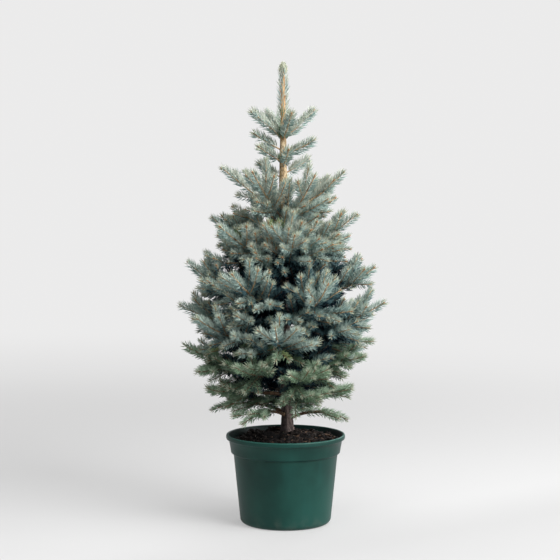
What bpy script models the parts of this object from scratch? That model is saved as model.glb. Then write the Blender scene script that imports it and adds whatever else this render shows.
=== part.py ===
"""A young Colorado blue spruce in a round nursery pot, about 1.1 m tall.

Metres, +Z up, origin in the middle of the pot's flat underside. +X is to the right of someone who
stands in front of the plant, and -Y is towards them.

The trunk stands on the soil and runs up through the crown to the leader's buds. Boughs leave it in
tiers, and each carries one mass of foliage: a main shoot with side shoots that branch off it by one
rule. A shoot's solid is a slim core with frills of teeth that lean forwards, the shape of a twig
with its needles on.
"""

import math
import random
from collections import namedtuple

import bmesh
import bpy
from mathutils import Matrix, Vector
from mathutils.bvhtree import BVHTree

# Clear gap between two pieces that touch
GAP = 0.0003

# Pot: radii and heights of its outer face
RIM_RADIUS = 0.145
RIM_TOP = 0.218
RIM_HEIGHT = 0.0115
RIM_THICKNESS = 0.0062
COLLAR_TOP_RADIUS = 0.1388
COLLAR_FOOT_RADIUS = 0.1330
COLLAR_FOOT = 0.1745
COLLAR_ROUNDING = 0.0018
BODY_TOP_RADIUS = 0.1268
BODY_TOP = 0.1690
BODY_FOOT_RADIUS = 0.1112
FOOT_ROUNDING = 0.0135
WALL = 0.0018
FLOOR = 0.0032
POT_SEGMENTS = 40
DRAIN_HOLES = 6
DRAIN_CIRCLE = 0.074
DRAIN_RADIUS = 0.0065
DRAIN_SIDES = 8

# Soil: its level at the pot's wall, and the mound round the trunk. Its corners stand on every second
# corner of the pot's wall.
SOIL_AT_WALL = 0.1985
SOIL_AT_TRUNK = 0.2240
SOIL_EDGE_RADIUS = 0.1336
SOIL_RING_RADII = (0.112, 0.084, 0.056, 0.036)
MOUND_RADIUS = 0.062
TRUNK_SEAT_RADIUS = 0.023
SOIL_LUMP = 0.0022
SOIL_LUMP_RISE = 0.03
SOIL_SEGMENTS = POT_SEGMENTS // 2

# Trunk: from the soil to the leader's buds
TRUNK_FOOT = SOIL_AT_TRUNK + GAP
TRUNK_TOP = 1.097
TRUNK_FOOT_RADIUS = 0.0146
TRUNK_TOP_RADIUS = 0.0034
TRUNK_TAPER = 2.2
TRUNK_FOOT_X = 0.0040
TRUNK_TOP_X = -0.0060
TRUNK_LEAN_SHARE = 0.6
TRUNK_SIDES = 12
TRUNK_RING_SHARES = (0.0, 0.007, 0.019, 0.05, 0.14, 0.28, 0.44, 0.6, 0.76, 0.9, 1.0)
FLARE_HEIGHT = 0.032
FLARE_SPREAD = 0.0042
FLARE_RIDGES = 3
FLARE_RIDGE_DEPTH = 0.35
FLARE_RIDGE_TURN = 0.6

# Leader: the needles on the top of the trunk, and the tuft that closes them
LEADER_START = 0.953
LEADER_SPREAD = 0.0125
LEADER_SKIN = 0.0019
LEADER_ROWS = 9
LEADER_SIDES = 6
LEADER_TURN = 0.3
LEADER_TUFT = 0.0265
TUFT_RADIUS = 0.0085
TUFT_RING_SHARES = (0.35, 0.75, 1.0)

# Boughs: how far each may stray from its tier's own figures
BOUGH_SIDES = 6
AZIMUTH_STRAY = 4.0
REACH_STRAY = 0.05
RISE_STRAY = 0.07
ARRIVE_STRAY = 13.0
BEND_HANDLE = 0.38
LIMB_TAPER = 0.55
COLLAR_SWELL = 0.2
GOLDEN_SHARE = 0.382

# The crown is narrower low down on its right: the share by which its low boughs reach less far there
RIGHT_SHORTER = 0.17

# Side shoots: they leave their parent in a spiral, one for each pitch of its length, and get longer
# with their distance behind its tip. The first figure of a pair is for those on a main shoot, the
# second for those on a side shoot.
SPIRAL_START = 8.0
SPIRAL_TURN = 137.5
SIDE_PITCH = (0.0200, 0.0290)
FIRST_BEHIND_TIP = (0.080, 0.060)
LONGEST_SIDE = (0.150, 0.095)
SHORTEST_SIDE = 0.050
UPRIGHT_SHARE = 0.86
HANGING_SHARE = 0.64
SIDE_ANGLE = 48.0
ANGLE_STRAY = 7.0
ROLL_STRAY = 14.0
AHEAD_BEND = 0.16
LIGHT_BEND = 0.04
SIDE_WOOD_SHARE = 0.62
THINNEST_WOOD = 0.0012
SIDE_SPREAD_SHARE = 0.94
FREE_OF_TRUNK = 0.034
FREE_OF_PARENT = 0.028
SECTOR_OVERLAP = 6.0

# A tier is a cup: no side shoot rises above a line that falls from its bough's tip to the trunk. The
# tiers whose boughs start below a height have more room over that line, and those low down have no cup.
CUP_SLOPE = 0.25
CUP_ROOM = 0.035
TIGHT_CUP_ABOVE = 0.70

# High in the crown the side shoots stand all round their parent. Low down they lie nearly level.
ROUND_ABOVE = 0.62
LEVEL_BELOW = 0.38
SIDE_LEVELLING = 0.55

# A shoot's solid: its frills of teeth, with the slim core between them
NEEDLE_SPREAD = 0.0182
CORE_SHARE = 0.50
TIP_SHARE = 0.80
TOOTH_COUNT = 3
TOOTH_LEAN = 0.0060
TOOTH_TURN = 0.8
FRILL_PITCH = 0.044
BEFORE_FIRST_ROW = 0.7
AFTER_LAST_ROW = 1.2
BARE_ROOT = 0.010

# Meshes: how near points are joined into one, and the angle at which a round face turns sharp
MERGE = 0.000001
SHARP_ANGLE = 35.0

SEED = 2207

# A tier of boughs. Azimuths run from +X towards +Y, in degrees. Its boughs start at height and down
# to drop below it, reach out and rise by the lengths given, and start and end at the angles leave
# and arrive above the horizon. bare is the share of a bough that is limb, before its foliage starts,
# limb its radius, lift how strongly its side shoots turn up, and fan their length as a share of their
# distance behind the tip.
Tier = namedtuple("Tier", "name height drop azimuths reach rise leave arrive bare limb lift fan")
TIERS = (
    Tier("top", 0.935, 0.006, (190, 118, 283, 26), 0.086, 0.074, 38, 44, 0.0, 0.0024, 0.10, 0.0),
    Tier("neck", 0.906, 0.074, (180, 212, 35, 345, 283, 145), 0.079, 0.046, 26, 38, 0.0, 0.0022, 0.10, 0.0),
    Tier("upper", 0.752, 0.034, (184, 240, 300, 356, 84), 0.152, 0.120, 30, 50, 0.0, 0.0036, 0.11, 0.68),
    Tier("shoulder", 0.640, 0.040, (162, 214, 270, 338, 58), 0.190, 0.112, 18, 46, 0.0, 0.0042, 0.10, 0.76),
    Tier("middle", 0.530, 0.040, (182, 238, 298, 352, 94), 0.234, 0.104, 12, 44, 0.0, 0.0048, 0.07, 0.82),
    Tier("broad", 0.445, 0.040, (170, 214, 268, 335, 42), 0.270, 0.104, 10, 40, 0.0, 0.0052, 0.04, 0.82),
    Tier("lower", 0.368, 0.036, (182, 236, 286, 330, 66), 0.250, 0.064, 12, 30, 0.22, 0.0052, 0.00, 0.88),
    Tier("skirt", 0.312, 0.030, (200, 285, 20, 112), 0.214, 0.044, 16, 18, 0.24, 0.0050, -0.04, 0.88),
    Tier("hem", 0.268, 0.018, (176, 232, 350, 84), 0.196, 0.008, 26, -20, 0.26, 0.0044, -0.10, 0.88),
)

# One length of twig: its course as points, the wood's radius at each end, how far its needles stand
# out, how many forks lie between it and the trunk, and the way it points at its root.
Shoot = namedtuple("Shoot", "key path root_radius tip_radius spread order heading")

# Base colour, roughness
FINISHES = {
    "pot_plastic": ((0.018, 0.105, 0.078), 0.42),
    "soil": ((0.035, 0.022, 0.015), 0.95),
    "bark": ((0.165, 0.118, 0.092), 0.85),
    "needles": ((0.19, 0.29, 0.27), 0.55),
}


# Growth: where every limb and shoot runs

def smooth(share):
    """0 to 1 with level ends."""
    share = min(1.0, max(0.0, share))
    return share * share * (3 - 2 * share)


def trunk_point(height):
    """The middle of the trunk at a height."""
    share = (height - TRUNK_FOOT) / (TRUNK_TOP - TRUNK_FOOT)
    lean = smooth(share / TRUNK_LEAN_SHARE)
    return Vector((TRUNK_FOOT_X + (TRUNK_TOP_X - TRUNK_FOOT_X) * lean, 0.0, height))


def trunk_radius(height):
    """The trunk's radius, root flare left out."""
    share = max(0.0, (height - TRUNK_FOOT) / (TRUNK_TOP - TRUNK_FOOT))
    return TRUNK_FOOT_RADIUS + (TRUNK_TOP_RADIUS - TRUNK_FOOT_RADIUS) * share**TRUNK_TAPER


def bezier(a, b, c, d, count):
    """count + 1 points on the cubic curve from a to d."""
    points = []
    for step in range(count + 1):
        t = step / count
        s = 1 - t
        points.append(a * s**3 + b * (3 * s * s * t) + c * (3 * s * t * t) + d * t**3)
    return points


def course_length(path):
    return sum((b - a).length for a, b in zip(path, path[1:]))


def point_along(path, distance):
    """The point and the direction of a path, a distance from its start."""
    for a, b in zip(path, path[1:]):
        step = (b - a).length
        if distance <= step or b is path[-1]:
            return a.lerp(b, min(1.0, distance / step)), (b - a).normalized()
        distance -= step


def part_of(path, start, end, count):
    """The stretch of a path between two distances, as count + 1 points."""
    return [point_along(path, start + (end - start) * step / count)[0] for step in range(count + 1)]


def bough_course(tier, number):
    """A bough's whole course, from the middle of the trunk to its foliage's tip."""
    chance = random.Random(f"{SEED} {tier.name} {number}")
    root = trunk_point(tier.height - tier.drop * (number * GOLDEN_SHARE % 1))
    azimuth = math.radians(tier.azimuths[number] + chance.uniform(-AZIMUTH_STRAY, AZIMUTH_STRAY))
    reach = tier.reach * (1 + chance.uniform(-REACH_STRAY, REACH_STRAY))
    if tier.bare:
        reach *= 1 - RIGHT_SHORTER * max(0.0, math.cos(azimuth))
    rise = tier.rise + reach * chance.uniform(-RISE_STRAY, RISE_STRAY)
    out, up = Vector((math.cos(azimuth), math.sin(azimuth), 0.0)), Vector((0.0, 0.0, 1.0))
    tip = root + out * reach + up * rise
    leave = math.radians(tier.leave)
    arrive = math.radians(tier.arrive + chance.uniform(-ARRIVE_STRAY, ARRIVE_STRAY))
    handle = reach * BEND_HANDLE
    after_root = root + (out * math.cos(leave) + up * math.sin(leave)) * handle
    before_tip = tip - (out * math.cos(arrive) + up * math.sin(arrive)) * handle
    return bezier(root, after_root, before_tip, tip, 10)


def side_shoot(parent, lift, distance, roll, length, key):
    """A shoot that leaves its parent forwards and outwards, and bends on towards the light."""
    chance = random.Random(f"{SEED} {key}")
    start, ahead = point_along(parent.path, distance)
    across = ahead.cross(Vector((0, 0, 1))).normalized()
    above = across.cross(ahead).normalized()
    turn = math.radians(SIDE_ANGLE + chance.uniform(-ANGLE_STRAY, ANGLE_STRAY))
    roll = math.radians(roll + chance.uniform(-ROLL_STRAY, ROLL_STRAY))
    outward = across * math.cos(roll) + above * math.sin(roll)
    heading = ahead * math.cos(turn) + outward * math.sin(turn)
    bend = (ahead * AHEAD_BEND + Vector((0, 0, lift + LIGHT_BEND))) * length
    path = [start + heading * (length * step / 4) + bend * (step / 4) ** 2 for step in range(5)]
    share = distance / course_length(parent.path)
    parent_wood = parent.root_radius + (parent.tip_radius - parent.root_radius) * share
    wood = max(THINNEST_WOOD, parent_wood * SIDE_WOOD_SHARE)
    spread = parent.spread * SIDE_SPREAD_SHARE
    return Shoot(key, path, wood, parent.tip_radius, spread, parent.order + 1, heading)


def levelled(roll, parent, most):
    """A roll round the parent, turned towards the level by up to a share that grows lower down."""
    share = most * smooth((ROUND_ABOVE - parent.path[-1].z) / (ROUND_ABOVE - LEVEL_BELOW))
    roll = math.radians(roll)
    return math.degrees(math.atan2(math.sin(roll) * (1 - share), math.cos(roll)))


def side_shoots(parent, tier, first_distance):
    """The side shoots that the rule asks for: a spiral that runs back from behind the parent's tip."""
    whole = course_length(parent.path)
    behind_tip, roll, count = FIRST_BEHIND_TIP[parent.order], SPIRAL_START, 0
    while whole - behind_tip > first_distance:
        upward = math.sin(math.radians(roll))
        share = 1 - abs(upward) * (1 - (UPRIGHT_SHARE if upward > 0 else HANGING_SHARE))
        length = min(LONGEST_SIDE[parent.order], behind_tip * tier.fan) * share
        if length >= SHORTEST_SIDE:
            key = f"{parent.key}.{count}"
            turn = levelled(roll, parent, SIDE_LEVELLING)
            yield side_shoot(parent, tier.lift, whole - behind_tip, turn, length, key)
        behind_tip += SIDE_PITCH[parent.order]
        roll += SPIRAL_TURN
        count += 1


class Room:
    """The space that limbs and shoots already take, as solids, each with its owner."""

    def __init__(self):
        self.taken = []

    @staticmethod
    def solid(rings):
        points, faces = skin(rings)
        low = [min(point[axis] for point in points) - GAP for axis in range(3)]
        high = [max(point[axis] for point in points) + GAP for axis in range(3)]
        return BVHTree.FromPolygons(points, faces, epsilon=GAP), low, high

    def take(self, owner, solid):
        self.taken.append((owner, *solid))

    def is_free(self, owner, solid):
        """True if a solid would touch nothing but its own mass."""
        tree, low, high = solid
        for other, its_tree, its_low, its_high in self.taken:
            if other == owner or any(low[i] > its_high[i] or high[i] < its_low[i] for i in range(3)):
                continue
            if tree.overlap(its_tree):
                return False
        return True


def keeps_to_its_side(tier, number, path):
    """True if a shoot's tip is nearer to its own bough than to the next ones of its tier."""
    tip = path[-1] - trunk_point(path[-1].z)
    heading = math.degrees(math.atan2(tip.y, tip.x))
    away = [abs((heading - azimuth + 180) % 360 - 180) for azimuth in tier.azimuths]
    return away[number] <= min(away) + SECTOR_OVERLAP


def keeps_below_the_cup(tier, main, path):
    """True if a shoot's tip is under the line that falls inwards from its bough's tip."""
    if tier.bare:
        return True
    reach, main_reach = ((p - trunk_point(p.z)).xy.length for p in (path[-1], main.path[-1]))
    room = CUP_ROOM if tier.height < TIGHT_CUP_ABOVE else 0.0
    return path[-1].z <= main.path[-1].z + room - CUP_SLOPE * (main_reach - reach)


def main_shoot(tier, number, course):
    """The shoot that carries a mass: a bough's course from where its bare limb ends."""
    whole = course_length(course)
    start = whole * tier.bare
    path = part_of(course, start + (GAP if tier.bare else 0.0), whole, 8)
    wood = tier.limb * (1 - LIMB_TAPER * tier.bare)
    heading = point_along(course, start)[1]
    return Shoot(f"{tier.name} {number}", path, wood, THINNEST_WOOD, NEEDLE_SPREAD, 0, heading)


def grow():
    """Every mass of foliage as (tier, number, course, main shoot, side shoots)."""
    room = Room()
    room.take("trunk", room.solid(trunk_rings(0.0)))
    room.take("leader", room.solid(leader_rings()))
    masses = []
    for tier in TIERS:
        for number in range(len(tier.azimuths)):
            course = bough_course(tier, number)
            main = main_shoot(tier, number, course)
            masses.append((tier, number, course, main, []))
            room.take(main.key, room.solid(shoot_rings(tier, main)))
            if tier.bare:
                room.take(main.key, room.solid(bough_rings(tier, course)))
    for order in (0, 1):
        for tier, number, course, main, sides in masses:
            parents = [shoot for shoot in (main, *sides) if shoot.order == order]
            first = FREE_OF_TRUNK if order == 0 and not tier.bare else FREE_OF_PARENT
            for parent in parents:
                for shoot in side_shoots(parent, tier, first):
                    solid = room.solid(shoot_rings(tier, shoot))
                    if (keeps_to_its_side(tier, number, shoot.path)
                            and keeps_below_the_cup(tier, main, shoot.path)
                            and room.is_free(main.key, solid)):
                        room.take(main.key, solid)
                        sides.append(shoot)
    return masses


# Shapes: rings of points that a skin is drawn over

def frame_along(path, index, ahead=None):
    """The way ahead at a path's point, and two directions square to it, the second the upper one."""
    if ahead is None:
        ahead = (path[min(index + 1, len(path) - 1)] - path[max(index - 1, 0)]).normalized()
    guide = Vector((0, 0, 1)) if abs(ahead.z) < 0.95 else Vector((1, 0, 0))
    across = ahead.cross(guide).normalized()
    return ahead, across, across.cross(ahead).normalized()


def ring_round(path, index, radii, turn=0.0, lean=0.0, ahead=None):
    """A ring round a path's point with a corner for each radius, the whole pushed ahead by lean."""
    ahead, across, above = frame_along(path, index, ahead)
    points = []
    for corner, radius in enumerate(radii):
        angle = turn + math.tau * corner / len(radii)
        outward = across * math.cos(angle) + above * math.sin(angle)
        points.append(path[index] + outward * radius + ahead * lean)
    return points


def trunk_rings(extra):
    """Rings up the trunk, wider by extra, with low ridges in the root flare."""
    rings = []
    for share in TRUNK_RING_SHARES:
        height = TRUNK_FOOT + (TRUNK_TOP - TRUNK_FOOT) * share
        flare = FLARE_SPREAD * max(0.0, 1 - (height - TRUNK_FOOT) / FLARE_HEIGHT) ** 2
        middle = trunk_point(height)
        ring = []
        for corner in range(TRUNK_SIDES):
            angle = math.tau * corner / TRUNK_SIDES
            ridge = 1 + FLARE_RIDGE_DEPTH * math.cos(FLARE_RIDGES * angle + FLARE_RIDGE_TURN)
            radius = trunk_radius(height) + flare * ridge + extra
            ring.append(middle + Vector((radius * math.cos(angle), radius * math.sin(angle), 0.0)))
        rings.append(ring)
    for point in rings[0]:
        point.z -= extra
    for point in rings[-1]:
        point.z += extra
    return rings


def bough_rings(tier, course):
    """One bare limb, from the middle of the trunk to where its foliage starts."""
    whole = course_length(course)
    path = part_of(course, 0.0, whole * tier.bare, 4)
    rings = []
    for index in range(len(path)):
        share = index / (len(path) - 1)
        collar = 1 + COLLAR_SWELL * max(0.0, 1 - share * 2)
        radius = tier.limb * (1 - LIMB_TAPER * tier.bare * share) * collar
        ahead = point_along(course, whole * tier.bare)[1] if share == 1 else None
        rings.append(ring_round(path, index, [radius] * BOUGH_SIDES, ahead=ahead))
    return rings


def shoot_rings(tier, shoot):
    """A shoot with its needles: a root, rows that are frill and core in turn, and a pointed tip."""
    inside_trunk = trunk_radius(shoot.path[0].z) if shoot.order == 0 and not tier.bare else 0.0
    bare = inside_trunk + BARE_ROOT / (1 + min(shoot.order, 1))
    whole = course_length(shoot.path)
    rows = 2 * max(2, round((whole - bare) / FRILL_PITCH)) - 1
    pitch = (whole - bare) / (rows - 1 + BEFORE_FIRST_ROW + AFTER_LAST_ROW)
    stations = [bare + pitch * (row + BEFORE_FIRST_ROW) for row in range(rows)]
    path = [shoot.path[0]] + [point_along(shoot.path, station)[0] for station in stations] + [shoot.path[-1]]
    if shoot.order == 0:
        rings = [ring_round(path, 0, [shoot.root_radius] * TOOTH_COUNT, ahead=shoot.heading)]
    else:
        rings = [[path[0]]]
    for row in range(rows):
        frill = row % 2 == 0
        radius = shoot.spread * (1.0 if frill else CORE_SHARE) * (TIP_SHARE if row == rows - 1 else 1.0)
        lean = TOOTH_LEAN if frill else 0.0
        rings.append(ring_round(path, row + 1, [radius] * TOOTH_COUNT, turn=TOOTH_TURN * row, lean=lean))
    rings.append([path[-1]])
    return rings


def leader_rings():
    """A toothed sleeve over the top of the trunk, closed by the tuft at its tip."""
    length = TRUNK_TOP - LEADER_START
    path = [trunk_point(LEADER_START + length * row / LEADER_ROWS) for row in range(LEADER_ROWS + 1)]
    path += [path[-1] + Vector((0, 0, LEADER_TUFT * share)) for share in TUFT_RING_SHARES]
    rings = []
    for row in range(LEADER_ROWS + 1):
        core = trunk_radius(path[row].z) + LEADER_SKIN
        radii = [core] * LEADER_SIDES
        if row:
            radii[row % 2::2] = [LEADER_SPREAD] * (LEADER_SIDES // 2)
        rings.append(ring_round(path, row, radii, turn=LEADER_TURN * row))
    rings.append(ring_round(path, LEADER_ROWS + 1, [TUFT_RADIUS] * LEADER_SIDES))
    rings.append(ring_round(path, LEADER_ROWS + 2, [TUFT_RADIUS * TIP_SHARE] * LEADER_SIDES))
    rings.append([path[-1]])
    return rings


def skin(rings):
    """Points and faces of a closed skin over rings of equally many points. A ring of one is a tip."""
    points = [point for ring in rings for point in ring]
    starts = [sum(len(ring) for ring in rings[:index]) for index in range(len(rings))]
    faces = []
    if len(rings[0]) > 1:
        faces.append(list(reversed(range(len(rings[0])))))
    if len(rings[-1]) > 1:
        faces.append(list(range(starts[-1], starts[-1] + len(rings[-1]))))
    for index in range(len(rings) - 1):
        low, high = starts[index], starts[index + 1]
        low_count, high_count = len(rings[index]), len(rings[index + 1])
        count = max(low_count, high_count)
        for i in range(count):
            j = (i + 1) % count
            if high_count == 1:
                faces.append([low + i, low + j, high])
            elif low_count == 1:
                faces.append([low, high + j, high + i])
            else:
                faces.extend([[low + i, low + j, high + j], [low + i, high + j, high + i]])
    return points, faces


# Objects

def finish(name):
    colour, roughness = FINISHES[name]
    made = bpy.data.materials.new(name)
    made.use_nodes = True
    made.diffuse_color = (*colour, 1)
    shader = made.node_tree.nodes["Principled BSDF"]
    shader.inputs["Base Color"].default_value = (*colour, 1)
    shader.inputs["Roughness"].default_value = roughness
    shader.inputs["Metallic"].default_value = 0.0
    return made


def mesh_from(bm, name):
    bmesh.ops.recalc_face_normals(bm, faces=bm.faces)
    mesh = bpy.data.meshes.new(name)
    bm.to_mesh(mesh)
    bm.free()
    return mesh


def loft(rings, name):
    """The closed skin over rings, as a mesh of triangles."""
    points, faces = skin(rings)
    bm = bmesh.new()
    verts = [bm.verts.new(point) for point in points]
    for face in faces:
        bm.faces.new([verts[i] for i in face])
    bmesh.ops.triangulate(bm, faces=bm.faces)
    return mesh_from(bm, name)


def turned(profile, segments, name):
    """A profile of (radius, height) points, from axis to axis, spun round Z."""
    bm = bmesh.new()
    verts = [bm.verts.new((radius, 0, height)) for radius, height in profile]
    edges = [bm.edges.new(pair) for pair in zip(verts, verts[1:])]
    bmesh.ops.spin(
        bm, geom=verts + edges, cent=(0, 0, 0), axis=(0, 0, 1), angle=math.tau, steps=segments, use_merge=True
    )
    bmesh.ops.remove_doubles(bm, verts=bm.verts, dist=MERGE)
    return mesh_from(bm, name)


def new_object(name, mesh, material=None):
    obj = bpy.data.objects.new(name, mesh)
    bpy.context.scene.collection.objects.link(obj)
    if material is not None:
        mesh.materials.append(material)
    return obj


def shade_round(obj):
    obj.data.shade_smooth()
    obj.data.set_sharp_from_angle(angle=math.radians(SHARP_ANGLE))
    return obj


def boolean(obj, operation, other=None, collection=None):
    modifier = obj.modifiers.new(operation.lower(), "BOOLEAN")
    modifier.operation = operation
    modifier.solver = "EXACT"
    if collection is not None:
        modifier.operand_type = "COLLECTION"
        modifier.collection = collection
    else:
        modifier.object = other


def applied(obj):
    """The object with its modifiers made real, and only its largest shell kept."""
    graph = bpy.context.evaluated_depsgraph_get()
    mesh = bpy.data.meshes.new_from_object(obj.evaluated_get(graph), depsgraph=graph)
    old = obj.data
    obj.modifiers.clear()
    obj.data = mesh
    bpy.data.meshes.remove(old)
    keep_largest_shell(mesh)
    return obj


def keep_largest_shell(mesh):
    """Drops loose scraps, and the inner skins of hollows that a union sealed."""
    bm = bmesh.new()
    bm.from_mesh(mesh)
    bmesh.ops.triangulate(bm, faces=bm.faces)
    bmesh.ops.remove_doubles(bm, verts=bm.verts, dist=MERGE)
    left, shells = set(bm.faces), []
    while left:
        shell, frontier = set(), [left.pop()]
        while frontier:
            face = frontier.pop()
            shell.add(face)
            near = {other for edge in face.edges for other in edge.link_faces} & left
            left -= near
            frontier.extend(near)
        shells.append(shell)
    shells.sort(key=lambda shell: sum(face.calc_area() for face in shell))
    for shell in shells[:-1]:
        bmesh.ops.delete(bm, geom=list(shell), context="FACES")
    bm.to_mesh(mesh)
    bm.free()


def is_sound(mesh):
    """True if every edge of a mesh joins exactly two faces."""
    bm = bmesh.new()
    bm.from_mesh(mesh)
    sound = all(edge.is_manifold for edge in bm.edges) and all(vert.is_manifold for vert in bm.verts)
    bm.free()
    return sound


# Pot and soil

def arc(centre, radius, start, end, count):
    """count + 1 points on an arc in the profile plane, angles in degrees from outwards to up."""
    points = []
    for step in range(count + 1):
        angle = math.radians(start + (end - start) * step / count)
        points.append((centre[0] + radius * math.cos(angle), centre[1] + radius * math.sin(angle)))
    return points


FOOT_CENTRE = (BODY_FOOT_RADIUS - FOOT_ROUNDING, FOOT_ROUNDING)


def pot_profile():
    """The wall's section, from the middle of the underside out, up over the rim, and back in."""
    roll = RIM_THICKNESS / 2
    outside = [(0.0, 0.0)]
    outside += arc(FOOT_CENTRE, FOOT_ROUNDING, -90, 0, 3)
    outside += [
        (BODY_TOP_RADIUS, BODY_TOP),
        (COLLAR_FOOT_RADIUS - COLLAR_ROUNDING, COLLAR_FOOT - COLLAR_ROUNDING),
        (COLLAR_FOOT_RADIUS, COLLAR_FOOT + COLLAR_ROUNDING),
        (COLLAR_TOP_RADIUS, RIM_TOP - RIM_HEIGHT),
    ]
    outside += arc((RIM_RADIUS - roll, RIM_TOP - RIM_HEIGHT + roll), roll, -50, 0, 1)
    outside += arc((RIM_RADIUS - roll, RIM_TOP - roll), roll, 0, 180, 4)
    inside = [
        (COLLAR_TOP_RADIUS - WALL, RIM_TOP - RIM_HEIGHT),
        (COLLAR_FOOT_RADIUS - WALL, COLLAR_FOOT + WALL),
        (BODY_TOP_RADIUS - WALL, BODY_TOP + WALL),
    ]
    inside += arc(FOOT_CENTRE, FOOT_ROUNDING - WALL, 0, -60, 1)
    inside += [(0.0, FLOOR)]
    return outside + inside


def drain_cutter():
    """Upright rods, one for each drain hole, in one mesh."""
    bm = bmesh.new()
    for hole in range(DRAIN_HOLES):
        angle = math.tau * (hole + 0.5) / DRAIN_HOLES
        place = Matrix.Translation((DRAIN_CIRCLE * math.cos(angle), DRAIN_CIRCLE * math.sin(angle), 0.0))
        bmesh.ops.create_cone(
            bm,
            cap_ends=True,
            segments=DRAIN_SIDES,
            radius1=DRAIN_RADIUS,
            radius2=DRAIN_RADIUS,
            depth=FLOOR * 4,
            matrix=place,
        )
    return mesh_from(bm, "drain_cutter")


def make_pot(material):
    pot = new_object("pot", turned(pot_profile(), POT_SEGMENTS, "pot"), material)
    cutter = new_object("drain_cutter", drain_cutter())
    boolean(pot, "DIFFERENCE", cutter)
    applied(pot)
    bpy.data.objects.remove(cutter)
    return shade_round(pot)


def soil_height(radius, angle):
    """The soil's level: a mound round the trunk with low lumps, flat where the trunk stands."""
    mound = math.exp(-((max(0.0, radius - TRUNK_SEAT_RADIUS) / MOUND_RADIUS) ** 2))
    level = SOIL_AT_WALL + (SOIL_AT_TRUNK - SOIL_AT_WALL) * mound
    lumps = math.sin(3 * angle + radius * 60) + 0.6 * math.sin(5 * angle - radius * 95)
    return level + SOIL_LUMP * lumps * smooth((radius - TRUNK_SEAT_RADIUS) / SOIL_LUMP_RISE)


def make_soil(material):
    """The potting soil: it fills the pot, clear of its wall and floor by the gap."""
    wall_gap = WALL + GAP * 2
    side = [(FOOT_CENTRE[0], FLOOR + GAP * 2)]
    side += arc(FOOT_CENTRE, FOOT_ROUNDING - wall_gap, -60, 0, 1)
    side += [
        (BODY_TOP_RADIUS - wall_gap, BODY_TOP + WALL),
        (COLLAR_FOOT_RADIUS - wall_gap, COLLAR_FOOT + WALL),
    ]
    angles = [math.tau * corner / SOIL_SEGMENTS for corner in range(SOIL_SEGMENTS)]
    rings = [[Vector((r * math.cos(a), r * math.sin(a), z)) for a in angles] for r, z in side]
    for radius in (SOIL_EDGE_RADIUS, *SOIL_RING_RADII, TRUNK_SEAT_RADIUS):
        rings.append(
            [Vector((radius * math.cos(a), radius * math.sin(a), soil_height(radius, a))) for a in angles]
        )
    return shade_round(new_object("soil", loft(rings, "soil"), material))


# Trunk, boughs and foliage

def make_bough(tier, number, course, material, trunk_cutter):
    """A bough, cut back to just clear of the trunk's skin."""
    name = f"{tier.name}_bough_{number + 1}"
    bough = new_object(name, loft(bough_rings(tier, course), name), material)
    boolean(bough, "DIFFERENCE", trunk_cutter)
    return shade_round(applied(bough))


def fused_mass(name, tier, main, sides, material, trunk_cutter):
    """A main shoot with its side shoots joined on by one union, cut clear of the trunk."""
    mass = new_object(name, loft(shoot_rings(tier, main), name), material)
    together = bpy.data.collections.new(name)
    bpy.context.scene.collection.children.link(together)
    for shoot in sides:
        mesh = loft(shoot_rings(tier, shoot), "side_shoot")
        together.objects.link(bpy.data.objects.new("side_shoot", mesh))
    if sides:
        boolean(mass, "UNION", collection=together)
    if not tier.bare:
        boolean(mass, "DIFFERENCE", trunk_cutter)
    applied(mass)
    for side in list(together.objects):
        bpy.data.objects.remove(side)
    bpy.data.collections.remove(together)
    return mass


def make_mass(tier, number, main, sides, material, trunk_cutter):
    """One mass of foliage. Where shoots meet edge to edge, the last of them is left out."""
    name = f"{tier.name}_foliage_{number + 1}"
    mass = fused_mass(name, tier, main, sides, material, trunk_cutter)
    while not is_sound(mass.data):
        bpy.data.objects.remove(mass)
        sides.pop()
        mass = fused_mass(name, tier, main, sides, material, trunk_cutter)
    return mass


def make_leader(material, trunk_cutter):
    """The leader's needles, hollowed clear of the trunk."""
    leader = new_object("leader_needles", loft(leader_rings(), "leader_needles"), material)
    boolean(leader, "DIFFERENCE", trunk_cutter)
    return applied(leader)


def build():
    for obj in list(bpy.data.objects):
        bpy.data.objects.remove(obj)
    plastic, soil, bark, needles = (finish(name) for name in FINISHES)
    make_pot(plastic)
    make_soil(soil)
    shade_round(new_object("trunk", loft(trunk_rings(0.0), "trunk"), bark))
    cutter = new_object("trunk_cutter", loft(trunk_rings(GAP), "trunk_cutter"))
    make_leader(needles, cutter)
    for tier, number, course, main, sides in grow():
        if tier.bare:
            make_bough(tier, number, course, bark, cutter)
        make_mass(tier, number, main, sides, needles, cutter)
    bpy.data.objects.remove(cutter)


build()
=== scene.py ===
import random
from collections import defaultdict, namedtuple
from math import atan2, cos, degrees, exp, hypot, radians, sin, sqrt, tan, tau

import bpy
import numpy as np
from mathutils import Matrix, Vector, noise
from mathutils.bvhtree import BVHTree


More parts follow.
